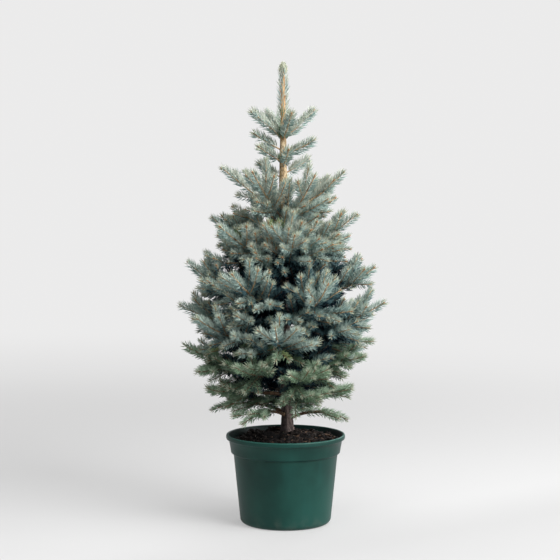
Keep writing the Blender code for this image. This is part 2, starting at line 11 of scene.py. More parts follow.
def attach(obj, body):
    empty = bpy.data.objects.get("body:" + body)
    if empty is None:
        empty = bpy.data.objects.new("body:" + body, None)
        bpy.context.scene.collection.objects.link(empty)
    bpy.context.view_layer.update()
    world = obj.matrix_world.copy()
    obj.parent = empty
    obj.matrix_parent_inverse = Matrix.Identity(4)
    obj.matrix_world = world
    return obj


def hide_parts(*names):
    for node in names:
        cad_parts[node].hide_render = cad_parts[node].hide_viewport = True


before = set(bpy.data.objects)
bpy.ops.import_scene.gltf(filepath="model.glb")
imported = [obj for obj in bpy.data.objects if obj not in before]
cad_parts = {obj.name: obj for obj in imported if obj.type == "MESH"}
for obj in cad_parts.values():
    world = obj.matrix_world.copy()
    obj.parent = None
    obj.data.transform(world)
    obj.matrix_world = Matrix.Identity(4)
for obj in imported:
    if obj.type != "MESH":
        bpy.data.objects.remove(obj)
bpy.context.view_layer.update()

# The looks of a young Colorado blue spruce in a nursery pot. Metres, +Z up, the pot's underside at
# the origin, -Y towards the camera. The skeleton of limbs and shoots follows the same rule and the
# same named values as the solids, and goes on from there to finer twigs, needles and buds.

SEED = 2207
UP = Vector((0, 0, 1))

# Pot
RIM_RADIUS = 0.145
RIM_TOP = 0.218
RIM_HEIGHT = 0.0115
RIM_THICKNESS = 0.0062
COLLAR_TOP_RADIUS = 0.1388
COLLAR_FOOT_RADIUS = 0.133
COLLAR_FOOT = 0.1745
COLLAR_EDGE = (COLLAR_FOOT_RADIUS - 0.002, COLLAR_FOOT + 0.0006)
COLLAR_ROUNDING = 0.0022
COLLAR_SIDE = ((COLLAR_FOOT_RADIUS + 0.002, 0.186), (COLLAR_TOP_RADIUS - 0.0006, 0.2035))
BODY_TOP_RADIUS = 0.1268
BODY_TOP = 0.169
STEP_ROUNDING = 0.0016
BODY_FOOT_RADIUS = 0.1112
FOOT_ROUNDING = 0.0135
FOOT_CENTRE = (BODY_FOOT_RADIUS - FOOT_ROUNDING, FOOT_ROUNDING)
FLAT_RADIUS = 0.086
WALL = 0.0018
FLOOR = 0.0032
INNER_ROUNDING = 0.001
POT_SEGMENTS = 160
DRAIN_HOLES = 6
DRAIN_CIRCLE = 0.074
DRAIN_RADIUS = 0.0065

# Soil
SOIL_GAP = 0.0003
SOIL_INSET = WALL + 0.0004
SOIL_AT_WALL = 0.1985
SOIL_AT_TRUNK = 0.224
SOIL_EDGE_RADIUS = 0.135
MOUND_RADIUS = 0.062
TRUNK_SEAT_RADIUS = 0.023
HEAP_PLACE = (0.088, 0.02)
HEAP_RADIUS = 0.042
HEAP_HEIGHT = 0.0075
LUMP_HEIGHT = 0.0022
CLOD_HEIGHT = 0.0092
CLOD_SCALE = 44
GRAIN_HEIGHT = 0.0026
GRAIN_SCALE = 230
CALM_RADIUS = 0.112
CALM_SHARE = 0.6
CALM_WIDTH = 0.02
CALM_SEAT_RADIUS = TRUNK_SEAT_RADIUS * 0.6
SOIL_SEGMENTS = 180
SOIL_RINGS = 44

# Bits strewn on the soil, some of which drop out on the left
BIT_SQUEEZES = (1.0, 0.55, 0.3)
BIT_ROUGHNESS = 0.3
BIT_TILT = 0.45
BITS_FREE_OF_TRUNK = 0.019
BITS_DROPPED = 0.6
DROPPED_WIDTH = 0.12

# Trunk
TRUNK_FOOT = SOIL_AT_TRUNK + SOIL_GAP
TRUNK_TOP = 1.097
TRUNK_FOOT_RADIUS = 0.0146
TRUNK_TOP_RADIUS = 0.0034
TRUNK_TAPER = 2.2
TRUNK_FOOT_X = 0.004
TRUNK_TOP_X = -0.006
TRUNK_LEAN_SHARE = 0.6
TRUNK_SIDES = 48
TRUNK_CUTS = (15, 15)
FLARE_HEIGHT = 0.032
FLARE_SPREAD = 0.0042
FLARE_RIDGES = 3
RIDGE_SHARE = 0.35
FISSURE_DEPTH = 0.0012
FISSURE_WIDTH = 0.32
PLATE_ROUGHNESS = 0.0007
PEG_HEIGHT = 0.00055
PEG_RINGS = 150
YOUNG_ROUGHNESS = 0.00035
OLD_BARK_TO = 0.55
BARK_CHANGE = 0.3

# Leader
LEADER_START = 0.953
LEADER_END = 1.1
WHORLS = ((0.932, 0.954), (0.874, 0.89))
TOP_HEIGHTS = ((-0.003, 0.008, 0.0162), (-0.008, 0.0, 0.004))
LEADER_BUDS = ((180, 1.098, 0.01), (0, 1.099, 0.009), (200, 1.046, 0.009),
               (320, 1.034, 0.007), (70, 1.06, 0.008), (270, 1.09, 0.008))

# Boughs
AZIMUTH_STRAY = 4.0
REACH_STRAY = 0.05
RISE_STRAY = 0.07
ARRIVE_STRAY = 13.0
BEND_HANDLE = 0.38
LIMB_TAPER = 0.55
BOUGH_SIDES = 10
BOUGH_STEP = 0.0045
COLLAR_LENGTH = 0.03
COLLAR_SWELL = 0.35
BOUGH_ROUGHNESS = 0.16
BOUGH_GRAIN = 150
GOLDEN_SHARE = 0.382
RIGHT_SHORTER = 0.17
BARK_HEIGHTS = (0.5, 0.62, 0.75, 0.84)
BARK_SHARES = (0.55, 0.42, 0.26, 0.1)

# Side shoots, as pairs for those on a main shoot and those on a side shoot
SPIRAL_START = 8.0
SPIRAL_TURN = 137.5
SIDE_PITCH = (0.02, 0.029)
FIRST_BEHIND_TIP = (0.08, 0.06)
LONGEST_SIDE = (0.15, 0.095)
SHORTEST_SIDE = 0.05
UPRIGHT_SHARE = 0.86
HANGING_SHARE = 0.64
SIDE_ANGLE = 48.0
ANGLE_STRAY = 7.0
ROLL_STRAY = 14.0
AHEAD_BEND = 0.16
LIGHT_BEND = 0.04
SIDE_WOOD_SHARE = 0.62
THINNEST_WOOD = 0.0012
FREE_OF_TRUNK = 0.034
FREE_OF_PARENT = 0.028
SECTOR_OVERLAP = 6.0
CUP_SLOPE = 0.25
CUP_ROOM = 0.035
TIGHT_CUP_ABOVE = 0.7
TESTED_SHARES = (0.5, 0.75, 0.92)
TESTED_MARGIN = 0.0015

# High in the crown the side shoots stand all round their parent. Low down they lie nearly level.
ROUND_ABOVE = 0.62
LEVEL_BELOW = 0.38
SIDE_LEVELLING = 0.55

# Fine twigs, which only the looks have
FINE_PITCH = 0.0165
FINE_BEHIND_TIP = 0.056
FINE_LONGEST = 0.088
FINE_SHORTEST = 0.044
FINE_SHARE = 0.84
FINE_REACH = 0.046
FINE_OUTERMOST = 0.9
FINE_FILL = {"upper": 0.5, "shoulder": 0.75, "skirt": 0.45}
FREE_OF_ROOT = 0.012
FINE_LEVELLING = 0.65
FINE_DROOP = 0.12

# Slender inner boughs, which leave the trunk between its tiers: their climb by height
INNER_FROM = 0.284
INNER_TO = 0.735
INNER_PITCH = 0.0074
INNER_START = 40.0
INNER_SHARES = (0.52, 0.86)
INNER_HEIGHTS = (0.27, 0.34, 0.45, 0.6, 0.72, 0.84)
INNER_CLIMBS = (-8, -4, 8, 18, 22, 26)
INNER_STRAY = 11
INNER_RISE = 0.7
INNER_BACK = 0.1
INNER_RIGHT = 0.24
INNER_RIGHT_BELOW = 0.46
INNER_RIGHT_FADE = 0.08
INNER_BEND = 0.14
INNER_WOOD = 0.0019

# Needles
NEEDLE_LENGTH = 0.0184
NEEDLE_WIDTH = 0.0022
NEEDLE_THICKNESS = 0.4
NEEDLE_WIDEST = 0.42
NEEDLE_LENGTHS = (0.84, 1.1)
NEEDLE_WIDTHS = (0.85, 1.15)
NEEDLE_PITCH = 0.00049
NEEDLE_LEAN = 58
NEEDLE_LEAN_STRAY = 6
NEEDLE_ROLL_STRAY = 0.25
NEEDLE_LIFT = 0.22
NEAR_TIP = (0, 0.003, 0.01, 0.026)
LEANS_NEAR_TIP = (27, 42, 53)
SHORTER_WITHIN = 0.014
SHORTEST_AT_TIP = 0.74
HANGING_BELOW = -0.35
HANGING_KEPT = 0.62
BEND_AHEAD = 0.12
BEND_UP = 0.06
BEND_IN = 0.03
TUFT_WITHIN = 0.005
TIP_CLEARANCE = 0.0112
INNER_NEEDLES = 0.85
DEEP_PITCH = 1.4
HIGH_NEEDLES = 1.14
HEM_NEEDLES = 0.84
HIGH_PITCH = 0.78
SPRAY_LENGTH = 0.055

# Buds, as shares of their length and of their thickest
BUD_RINGS = ((0.0, 0.55), (0.18, 0.95), (0.42, 1.0), (0.7, 0.68), (0.92, 0.25))
BUD_THICKNESS = 0.27
BUD_LENGTH = 0.008
SIDE_BUD_LENGTH = 0.005

# Tints of needles, each with its gloss; leaf, dusk and deep are dark tints for painted shade
TINTS = {
    "silver": ((0.425, 0.512, 0.462), 0.43),
    "warm": ((0.44, 0.478, 0.408), 0.43),
    "blue": ((0.236, 0.332, 0.306), 0.4),
    "sage": ((0.284, 0.388, 0.276), 0.4),
    "green": ((0.152, 0.238, 0.148), 0.36),
    "leaf": ((0.08, 0.13, 0.088), 0.34),
    "dusk": ((0.054, 0.112, 0.124), 0.27),
    "deep": ((0.0024, 0.0105, 0.0195), 0.1),
    "fresh": ((0.29, 0.365, 0.165), 0.38),
    "pale": ((0.365, 0.4, 0.3), 0.4),
    "tip": ((0.56, 0.57, 0.43), 0.42),
}

# Painted shade: the tint that takes over on a shoot's shaded side, and how often, by how far a needle
# points up
SHADED = {"silver": "blue", "warm": "blue", "blue": "dusk", "sage": "green", "green": "leaf",
          "dusk": "deep", "deep": "deep", "fresh": "green", "pale": "silver", "leaf": "deep", "tip": "warm"}
SHADED_FROM = (-0.6, 0.1, 0.7)
SHADED_SHARES = (0.92, 0.3, 0.08)

# Where the tints lie, by how far out in the crown and how high. Deep and dusk within the crown are painted
# shade; blue and green at mid depth are darker partly as painted shade and partly as the duller colour of
# older needles
DEEP_WITHIN = 0.4
DUSK_WITHIN = 0.54
BLUE_WITHIN = 0.7
BLUE_BELOW = 0.8
OUT_STRAY = 0.07
OUT_BY_HEIGHT = ((0.61, 0.14, 0.5), (0.35, -0.06, 0.34), (0.5, -0.1, -0.07))
GREEN_BELOW = 0.5
GREEN_FADE = 0.14
GREEN_STRAY = 0.25
WARM_ABOVE = 0.72
WARM_STRAY = 0.08
FRESH_FROM = 0.36
FRESH_TO = 0.75
FRESH_SHARE = 0.02

# Stage
BACKDROP = (0.835, 0.832, 0.832)
FLOOR_SHADE = (0.64, 0.64, 0.64)
FLOOR_RADIUS = 40
# Painted shadow on the floor, darkest near this place at the back left, and painted shade towards the front
# right
PAINTED_SHADOW_PLACE = (-1.0, 1.5, 0.0)
PAINTED_SHADE_TOWARDS = (0.6, -0.8, 0.0)
FILL_LIGHT = (-0.6, 0.8, 0.2, 0.46)
LAMP_AIM = (0, 0, 0.55)
LAMPS = (
    ("key_lamp", (2.6, -2.5, 2.7), 2.4, 222),
    ("top_lamp", (0.2, -0.5, 3.2), 2.4, 62),
    ("left_lamp", (-3.0, -1.8, 1.8), 2.0, 16),
    ("right_lamp", (3.2, -0.6, 1.3), 1.8, 52),
    ("back_lamp", (1.6, 2.8, 2.2), 1.8, 34),
)
CAMERA_PLACE = (-0.0136, -4.0, 0.88)
CAMERA_AIM = (-0.0136, 0, 0.594)
CAMERA_LENS = 106.3

Tier = namedtuple("Tier", "name height drop azimuths reach rise leave arrive bare limb lift fan")
TIERS = (
    Tier("top", 0.935, 0.006, (190, 118, 283, 26), 0.086, 0.074, 38, 44, 0.0, 0.0024, 0.1, 0.0),
    Tier("neck", 0.906, 0.074, (180, 212, 35, 345, 283, 145), 0.079, 0.046, 26, 38, 0.0, 0.0022, 0.1, 0.0),
    Tier("upper", 0.752, 0.034, (184, 240, 300, 356, 84), 0.152, 0.12, 30, 50, 0.0, 0.0036, 0.11, 0.68),
    Tier("shoulder", 0.64, 0.04, (162, 214, 270, 338, 58), 0.19, 0.112, 18, 46, 0.0, 0.0042, 0.1, 0.76),
    Tier("middle", 0.53, 0.04, (182, 238, 298, 352, 94), 0.234, 0.104, 12, 44, 0.0, 0.0048, 0.07, 0.82),
    Tier("broad", 0.445, 0.04, (170, 214, 268, 335, 42), 0.27, 0.104, 10, 40, 0.0, 0.0052, 0.04, 0.82),
    Tier("lower", 0.368, 0.036, (182, 236, 286, 330, 66), 0.25, 0.064, 12, 30, 0.22, 0.0052, 0.00, 0.88),
    Tier("skirt", 0.312, 0.03, (200, 285, 20, 112), 0.214, 0.044, 16, 18, 0.24, 0.005, -0.04, 0.88),
    Tier("hem", 0.268, 0.018, (176, 232, 350, 84), 0.196, 0.008, 26, -20, 0.26, 0.0044, -0.1, 0.88),
)

# The crown's outline: how far its shoots reach from the trunk at each height
CROWN_HEIGHTS = (0.24, 0.29, 0.35, 0.44, 0.55, 0.64, 0.75, 0.87, 0.95, 1.02, 1.12)
CROWN_REACHES = (0.14, 0.2, 0.235, 0.25, 0.27, 0.24, 0.19, 0.155, 0.08, 0.08, 0.02)

Shoot = namedtuple("Shoot", "key node path root_radius tip_radius order")


# Growth: where every limb and shoot runs

def smooth(share):
    """0 to 1 with level ends."""
    share = min(1.0, max(0.0, share))
    return share * share * (3 - 2 * share)


def stray(chance, most):
    """A chance amount, either way from nothing."""
    return chance.uniform(-most, most)


def flat_heading(angle):
    """The level unit vector at an angle from +X."""
    return Vector((cos(angle), sin(angle), 0.0))


def raised(heading, angle):
    """A level unit vector, turned up by an angle."""
    return heading * cos(angle) + UP * sin(angle)


def trunk_point(height):
    """The middle of the trunk at a height."""
    share = (height - TRUNK_FOOT) / (TRUNK_TOP - TRUNK_FOOT)
    lean = smooth(share / TRUNK_LEAN_SHARE)
    return Vector((TRUNK_FOOT_X + (TRUNK_TOP_X - TRUNK_FOOT_X) * lean, 0.0, height))


def from_trunk(point):
    """The level way from the trunk to a point."""
    return (point - trunk_point(point.z)).xy


def trunk_radius(height):
    """The trunk's radius, root flare left out."""
    share = max(0.0, (height - TRUNK_FOOT) / (TRUNK_TOP - TRUNK_FOOT))
    return TRUNK_FOOT_RADIUS + (TRUNK_TOP_RADIUS - TRUNK_FOOT_RADIUS) * share**TRUNK_TAPER


def bezier(a, b, c, d, count):
    """count + 1 points on the cubic curve from a to d."""
    points = []
    for step in range(count + 1):
        t = step / count
        s = 1 - t
        points.append(a * s**3 + b * (3 * s * s * t) + c * (3 * s * t * t) + d * t**3)
    return points


def course_length(path):
    return sum((b - a).length for a, b in zip(path, path[1:]))


def point_along(path, distance):
    """The point and the direction of a path, a distance from its start."""
    for a, b in zip(path, path[1:]):
        step = (b - a).length
        if distance <= step or b is path[-1]:
            return a.lerp(b, min(1.0, distance / step)), (b - a).normalized()
        distance -= step


def part_of(path, start, end, count):
    """The stretch of a path between two distances, as count + 1 points."""
    return [point_along(path, start + (end - start) * step / count)[0] for step in range(count + 1)]


def bough_course(tier, number):
    """A bough's whole course, from the middle of the trunk to its foliage's tip."""
    chance = random.Random(f"{SEED} {tier.name} {number}")
    root = trunk_point(tier.height - tier.drop * (number * GOLDEN_SHARE % 1))
    azimuth = radians(tier.azimuths[number] + stray(chance, AZIMUTH_STRAY))
    reach = tier.reach * (1 + stray(chance, REACH_STRAY))
    if tier.bare:
        reach *= 1 - RIGHT_SHORTER * max(0.0, cos(azimuth))
    rise = tier.rise + reach * stray(chance, RISE_STRAY)
    out = flat_heading(azimuth)
    tip = root + out * reach + UP * rise
    arrive = radians(tier.arrive + stray(chance, ARRIVE_STRAY))
    handle = reach * BEND_HANDLE
    after_root = root + raised(out, radians(tier.leave)) * handle
    before_tip = tip - raised(out, arrive) * handle
    return bezier(root, after_root, before_tip, tip, 10)


def side_shoot(parent, lift, distance, roll, length, key):
    """A shoot that leaves its parent forwards and outwards, and bends on towards the light."""
    chance = random.Random(f"{SEED} {key}")
    start, ahead = point_along(parent.path, distance)
    across = ahead.cross(UP).normalized()
    above = across.cross(ahead).normalized()
    turn = radians(SIDE_ANGLE + stray(chance, ANGLE_STRAY))
    roll = radians(roll + stray(chance, ROLL_STRAY))
    outward = across * cos(roll) + above * sin(roll)
    heading = ahead * cos(turn) + outward * sin(turn)
    bend = (ahead * AHEAD_BEND + UP * (lift + LIGHT_BEND)) * length
    path = [start + heading * (length * step / 4) + bend * (step / 4) ** 2 for step in range(5)]
    share = distance / course_length(parent.path)
    parent_wood = parent.root_radius + (parent.tip_radius - parent.root_radius) * share
    wood = max(THINNEST_WOOD, parent_wood * SIDE_WOOD_SHARE)
    return Shoot(key, parent.node, path, wood, parent.tip_radius, parent.order + 1)


def low_share(parent):
    """0 high in the crown, 1 low down."""
    return smooth((ROUND_ABOVE - parent.path[-1].z) / (ROUND_ABOVE - LEVEL_BELOW))


def levelled(roll, parent, most):
    """A roll round the parent, turned towards the level by up to a share that grows lower down."""
    share = most * low_share(parent)
    roll = radians(roll)
    return degrees(atan2(sin(roll) * (1 - share), cos(roll)))


def spiral(parent, behind_tip, pitch, roll, first_distance):
    """A parent's places for shoots: number, distances from its tip and its root, roll."""
    whole, count = course_length(parent.path), 0
    while whole - behind_tip > first_distance:
        yield count, behind_tip, whole - behind_tip, roll
        behind_tip += pitch
        roll += SPIRAL_TURN
        count += 1


def side_shoots(parent, tier, first_distance):
    """The side shoots that the rule asks for."""
    order = parent.order
    places = spiral(parent, FIRST_BEHIND_TIP[order], SIDE_PITCH[order], SPIRAL_START, first_distance)
    for count, behind_tip, distance, roll in places:
        upward = sin(radians(roll))
        share = 1 - abs(upward) * (1 - (UPRIGHT_SHARE if upward > 0 else HANGING_SHARE))
        length = min(LONGEST_SIDE[order], behind_tip * tier.fan) * share
        if length >= SHORTEST_SIDE:
            turn = levelled(roll, parent, SIDE_LEVELLING)
            yield side_shoot(parent, tier.lift, distance, turn, length, f"{parent.key}.{count}")


def fine_twigs(parent, lift, first_distance=FREE_OF_ROOT):
    """The same spiral on a smaller scale, half a turn away, flattened to a drooping fan low down."""
    droop = FINE_DROOP * low_share(parent)
    places = spiral(parent, FINE_BEHIND_TIP, FINE_PITCH, SPIRAL_START + 180, first_distance)
    for count, behind_tip, distance, roll in places:
        length = min(FINE_LONGEST, behind_tip * FINE_SHARE)
        if length >= FINE_SHORTEST:
            turn = levelled(roll, parent, FINE_LEVELLING)
            yield side_shoot(parent, lift - droop, distance, turn, length, f"{parent.key}.fine{count}")


def crown_reach(height):
    return float(np.interp(height, CROWN_HEIGHTS, CROWN_REACHES))


def right_share(height, across):
    """The share of their reach that inner boughs keep low down on the right."""
    return 1 - INNER_RIGHT * smooth((INNER_RIGHT_BELOW - height) / INNER_RIGHT_FADE) * max(0.0, across)


def inner_boughs(spaces):
    """Slender boughs that leave the trunk in a spiral between its tiers."""
    height, azimuth, count = INNER_FROM, INNER_START, 0
    while height < INNER_TO:
        chance = random.Random(f"{SEED} inner {count}")
        climb = np.interp(height, INNER_HEIGHTS, INNER_CLIMBS) + stray(chance, INNER_STRAY)
        climb = radians(climb)
        out = flat_heading(radians(azimuth))
        heading = raised(out, climb)
        rise = crown_reach(height) * INNER_RISE * tan(climb)
        share = chance.uniform(*INNER_SHARES) + INNER_BACK * max(0.0, out.y)
        share *= right_share(height, out.x)
        length = crown_reach(height + rise) * share / cos(climb)
        start = trunk_point(height)
        path = [start + heading * (length * step / 6) + UP * (INNER_BEND * length * (step / 6) ** 2)
                for step in range(7)]
        node = min(spaces, key=lambda name: spaces[name].find_nearest(path[4])[3])
        yield Shoot(f"inner {count}", node, path, INNER_WOOD, THINNEST_WOOD, 1)
        height += INNER_PITCH
        azimuth += SPIRAL_TURN
        count += 1


def keeps_to_its_side(tier, number, path):
    """True if a shoot's tip is nearer to its own bough than to the next ones of its tier."""
    tip = from_trunk(path[-1])
    heading = degrees(atan2(tip.y, tip.x))
    away = [abs((heading - azimuth + 180) % 360 - 180) for azimuth in tier.azimuths]
    return away[number] <= min(away) + SECTOR_OVERLAP


def keeps_below_the_cup(tier, main, path):
    """True if a shoot's tip is under the line that falls inwards from its bough's tip."""
    if tier.bare:
        return True
    reach, main_reach = from_trunk(path[-1]).length, from_trunk(main.path[-1]).length
    room = CUP_ROOM if tier.height < TIGHT_CUP_ABOVE else 0.0
    return path[-1].z <= main.path[-1].z + room - CUP_SLOPE * (main_reach - reach)


def space_of(node):
    """The space that a mass of foliage fills, as its solid gives it."""
    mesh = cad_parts[node].data
    points = [vertex.co.copy() for vertex in mesh.vertices]
    return BVHTree.FromPolygons(points, [tuple(face.vertices) for face in mesh.polygons])


def holds(space, point, margin):
    """True if a point is in a space, or not further from it than a margin."""
    nearest, normal, _, distance = space.find_nearest(point)
    return distance < margin or (point - nearest).dot(normal) < 0


def outwardness(point):
    """How far out in the crown a point lies, from 0 at the trunk to 1 at the crown's outline."""
    away = from_trunk(point)
    return hypot(away.x, away.y) / crown_reach(point.z)


def grow():
    """Every limb as (tier, number, course, shoots), its main shoot first, and the inner shoots."""
    limbs, spaces = [], {}
    for tier in TIERS:
        for number in range(len(tier.azimuths)):
            course = bough_course(tier, number)
            node = f"{tier.name}_foliage_{number + 1}"
            whole = course_length(course)
            path = part_of(course, whole * tier.bare, whole, 8)
            wood = tier.limb * (1 - LIMB_TAPER * tier.bare)
            main = Shoot(f"{tier.name} {number}", node, path, wood, THINNEST_WOOD, 0)
            shoots, space = [main], space_of(node)
            spaces[node] = space
            for order in (0, 1):
                first = FREE_OF_TRUNK if order == 0 and not tier.bare else FREE_OF_PARENT
                for parent in [shoot for shoot in shoots if shoot.order == order]:
                    for shoot in side_shoots(parent, tier, first):
                        tests = [point_along(shoot.path, course_length(shoot.path) * share)[0]
                                 for share in TESTED_SHARES]
                        if (keeps_to_its_side(tier, number, shoot.path)
                                and keeps_below_the_cup(tier, main, shoot.path)
                                and all(holds(space, point, TESTED_MARGIN) for point in tests)):
                            shoots.append(shoot)
            if tier.name not in ("top", "neck", "hem"):
                for parent in list(shoots):
                    for twig in fine_twigs(parent, tier.lift):
                        tip = twig.path[-1]
                        margin = FINE_REACH * FINE_FILL.get(tier.name, 1.0)
                        if holds(space, tip, margin) and outwardness(tip) < FINE_OUTERMOST:
                            shoots.append(twig)
            limbs.append((tier, number, course, shoots))
    inner = []
    for bough in inner_boughs(spaces):
        twigs = fine_twigs(bough, 0.0, FREE_OF_TRUNK)
        inner += [bough, *(twig for twig in twigs if outwardness(twig.path[-1]) < FINE_OUTERMOST)]
    return limbs, inner


# Pieces

def alone(obj):
    bpy.ops.object.select_all(action="DESELECT")
    obj.select_set(True)
    bpy.context.view_layer.objects.active = obj


def begin(add, name, **settings):
    """A new primitive, in edit mode, with all of it selected."""
    bpy.ops.object.select_all(action="DESELECT")
    add(**settings)
    obj = bpy.context.object
    obj.name = obj.data.name = name
    bpy.ops.object.mode_set(mode="EDIT")
    bpy.ops.mesh.select_all(action="SELECT")
    return obj


def end(obj, angle=None):
    """Leaves edit mode, sets the place into the mesh and shades it smooth up to an angle."""
    bpy.ops.mesh.select_all(action="SELECT")
    bpy.ops.mesh.normals_make_consistent(inside=False)
    bpy.ops.object.mode_set(mode="OBJECT")
    alone(obj)
    bpy.ops.object.transform_apply(location=True, rotation=True, scale=True)
    if angle is None:
        bpy.ops.object.shade_smooth()
    else:
        bpy.ops.object.shade_smooth_by_angle(angle=radians(angle))
    return obj


def turned(name, profile, segments, angle=None):
    """A disc drawn out ring by ring through a profile of (radius, height), closed at both ends."""
    radius, height = profile[0]
    obj = begin(
        bpy.ops.mesh.primitive_circle_add, name,
        vertices=segments, radius=radius, fill_type="NGON", location=(0, 0, height),
    )
    for next_radius, next_height in profile[1:]:
        bpy.ops.mesh.extrude_region_move(TRANSFORM_OT_translate={"value": (0, 0, next_height - height)})
        scale = next_radius / radius
        bpy.ops.transform.resize(value=(scale, scale, 1), center_override=(0, 0, next_height))
        radius, height = next_radius, next_height
    return end(obj, angle)


def joined(name, points, faces, smooth_shaded=False):
    """Many small shapes as one mesh, from an array of points and one of faces of equal length."""
    points, faces = np.asarray(points, np.float32), np.asarray(faces, np.int32)
    mesh = bpy.data.meshes.new(name)
    mesh.vertices.add(len(points))
    mesh.vertices.foreach_set("co", points.ravel())
    mesh.loops.add(faces.size)
    mesh.loops.foreach_set("vertex_index", faces.ravel())
    mesh.polygons.add(len(faces))
    mesh.polygons.foreach_set("loop_start", np.arange(0, faces.size, faces.shape[1], dtype=np.int32))
    mesh.polygons.foreach_set("use_smooth", np.full(len(faces), smooth_shaded))
    mesh.update(calc_edges=True)
    obj = bpy.data.objects.new(name, mesh)
    bpy.context.scene.collection.objects.link(obj)
    return obj


def place(obj, material, slot, *nodes):
    """Gives a piece its material and its place among the solids."""
    obj.data.materials.clear()
    obj.data.materials.append(material)
    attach(obj, "root")
    if nodes:
        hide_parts(*nodes)


# Materials

class Value:
    """A socket whose arithmetic adds Math nodes."""

    def __init__(self, nodes, socket):
        self.nodes, self.socket = nodes, socket

    def __add__(self, other):
        return self.nodes.node("Math", {"operation": "ADD"}, self, other)

    def __mul__(self, other):
        return self.nodes.node("Math", {"operation": "MULTIPLY"}, self, other)

    __radd__, __rmul__ = __add__, __mul__

    def ramp(self, low, high, out_low=0.0, out_high=1.0):
        """The value carried smoothly from one range to another, and held at its ends."""
        settings = {"interpolation_type": "SMOOTHSTEP"}
        return self.nodes.node("MapRange", settings, self, low, high, out_low, out_high)

    def blend(self, first, second):
        """The colour this far from one to another. Their sockets come after five of other kinds."""
        colours = (colour if isinstance(colour, Value) else (*colour, 1) for colour in (first, second))
        return self.nodes.node("Mix", {"data_type": "RGBA"}, self, *[None] * 5, *colours, output=2)


class Nodes:
    """The nodes of a material or of the surroundings."""

    def __init__(self, tree):
        self.tree = tree

    def node(self, kind, settings=None, *values, output=0, **named):
        """Adds a node: its settings first, then its sockets, as numbers, colours or links."""
        made = self.tree.nodes.new(f"ShaderNode{kind}")
        for name, setting in (settings or {}).items():
            setattr(made, name, setting)
        for socket, value in [*enumerate(values), *named.items()]:
            self.feed(made.inputs[socket], value)
        return Value(self, made.outputs[output])

    def feed(self, socket, value):
        if isinstance(value, Value):
            self.tree.links.new(value.socket, socket)
        elif value is not None:
            socket.default_value = value

    def vector(self, operation, first, second=None, output="Value"):
        return self.node("VectorMath", {"operation": operation}, first, second, output=output)


class Surface(Nodes):
    """A material under way: a Principled shader and the nodes that feed it."""

    def __init__(self, name, gloss=0.25):
        self.material = bpy.data.materials.new(name)
        self.material.use_nodes = True
        super().__init__(self.material.node_tree)
        self.shader = self.tree.nodes["Principled BSDF"]
        self.shader.inputs["Specular IOR Level"].default_value = gloss
        self.place = self.node("TexCoord", output="Object")

    def along(self, axis):
        return self.node("SeparateXYZ", None, self.place, output=axis)

    def squeezed(self, upwards):
        return self.node("Mapping", None, self.place, Scale=(1, 1, upwards))

    def noise(self, scale, detail, upwards=1, roughness=0.5):
        return self.node("TexNoise", None, Vector=self.squeezed(upwards), Scale=scale, Detail=detail,
                         Roughness=roughness)

    def cells(self, scale, upwards=1, feature="F1"):
        return self.node("TexVoronoi", {"feature": feature}, Vector=self.squeezed(upwards), Scale=scale,
                         output="Distance")

    def set(self, colour, roughness, bump=None, depth=0.0, strength=0.0):
        self.feed(self.shader.inputs["Base Color"], colour)
        self.feed(self.shader.inputs["Roughness"], roughness)
        if bump is not None:
            relief = self.node("Bump", None, Strength=strength, Distance=depth, Height=bump)
            self.feed(self.shader.inputs["Normal"], relief)
        return self.material


def pot_finish():
    """Cloudy dark green plastic, dusty at the foot, with painted shade towards the top and inside and a
    painted highlight on the rim's edge.
    """
    dark, light, streaked = (0.0016, 0.0275, 0.0215), (0.0068, 0.053, 0.0415), (0.007, 0.058, 0.048)
    painted_highlight, inside, dusty = (0.036, 0.135, 0.11), (0.0006, 0.0085, 0.008), (0.085, 0.092, 0.078)
    surface = Surface("pot_moulded_plastic", 0.22)
    cloud = surface.noise(9, 3)
    speck = surface.noise(420, 2)
    streak = surface.noise(26, 2, 0.12)
    height = surface.along("Z")
    # Painted shade and light: darker towards the top, under the crown, and lighter towards the foot
    colour = (cloud.ramp(0.35, 0.65, 0.0, 0.6) + height.ramp(0.17, 0.02, 0.0, 0.4)).blend(dark, light)
    colour = streak.ramp(0.52, 0.75, 0, 0.35).blend(colour, streaked)
    # Painted highlight: a paler band along the rim's top edge
    edge = height.ramp(RIM_TOP - 0.003, RIM_TOP - 0.0008) * 0.55
    colour = edge.blend(colour, painted_highlight)
    # Painted shade on the inner wall, whose normal points in towards the axis
    level = surface.vector("MULTIPLY", surface.place, (1.0, 1.0, 0.0), "Vector")
    outwards = surface.vector("DOT_PRODUCT", level, surface.node("TexCoord", output="Normal"))
    colour = outwards.ramp(-0.04, -0.11, 0.0, 0.75).blend(colour, inside)
    dust = height.ramp(0.045, 0.0) * surface.noise(38, 4).ramp(0.42, 0.72) * 0.35
    colour = dust.blend(colour, dusty)
    roughness = 0.36 + cloud * 0.1 + speck * 0.08 + dust * 0.4
    return surface.set(colour, roughness, speck + streak * 1.5, 0.0002, 0.35)


def soil_finish():
    """Near-black moist compost with brown grains."""
    dark, light, grain = (0.0008, 0.0008, 0.0012), (0.0056, 0.0043, 0.0042), (0.036, 0.023, 0.016)
    surface = Surface("moist_compost")
    lumps = surface.noise(70, 5, roughness=0.65)
    grains = surface.cells(420)
    colour = lumps.ramp(0.35, 0.68).blend(dark, light)
    colour = grains.ramp(0.0, 0.35, 0.55, 0.0).blend(colour, grain)
    return surface.set(colour, 0.86 + lumps * 0.12, lumps + grains * 0.5, 0.0016, 0.9)


def chip_finish(name, dark, light):
    surface = Surface(name)
    grain = surface.noise(160, 4, 0.4, 0.6)
    patch = surface.noise(24, 2)
    colour = (grain * 0.6 + patch * 0.4).ramp(0.36, 0.64).blend(dark, light)
    return surface.set(colour, 0.8 + grain * 0.15, grain, 0.0006, 0.8)


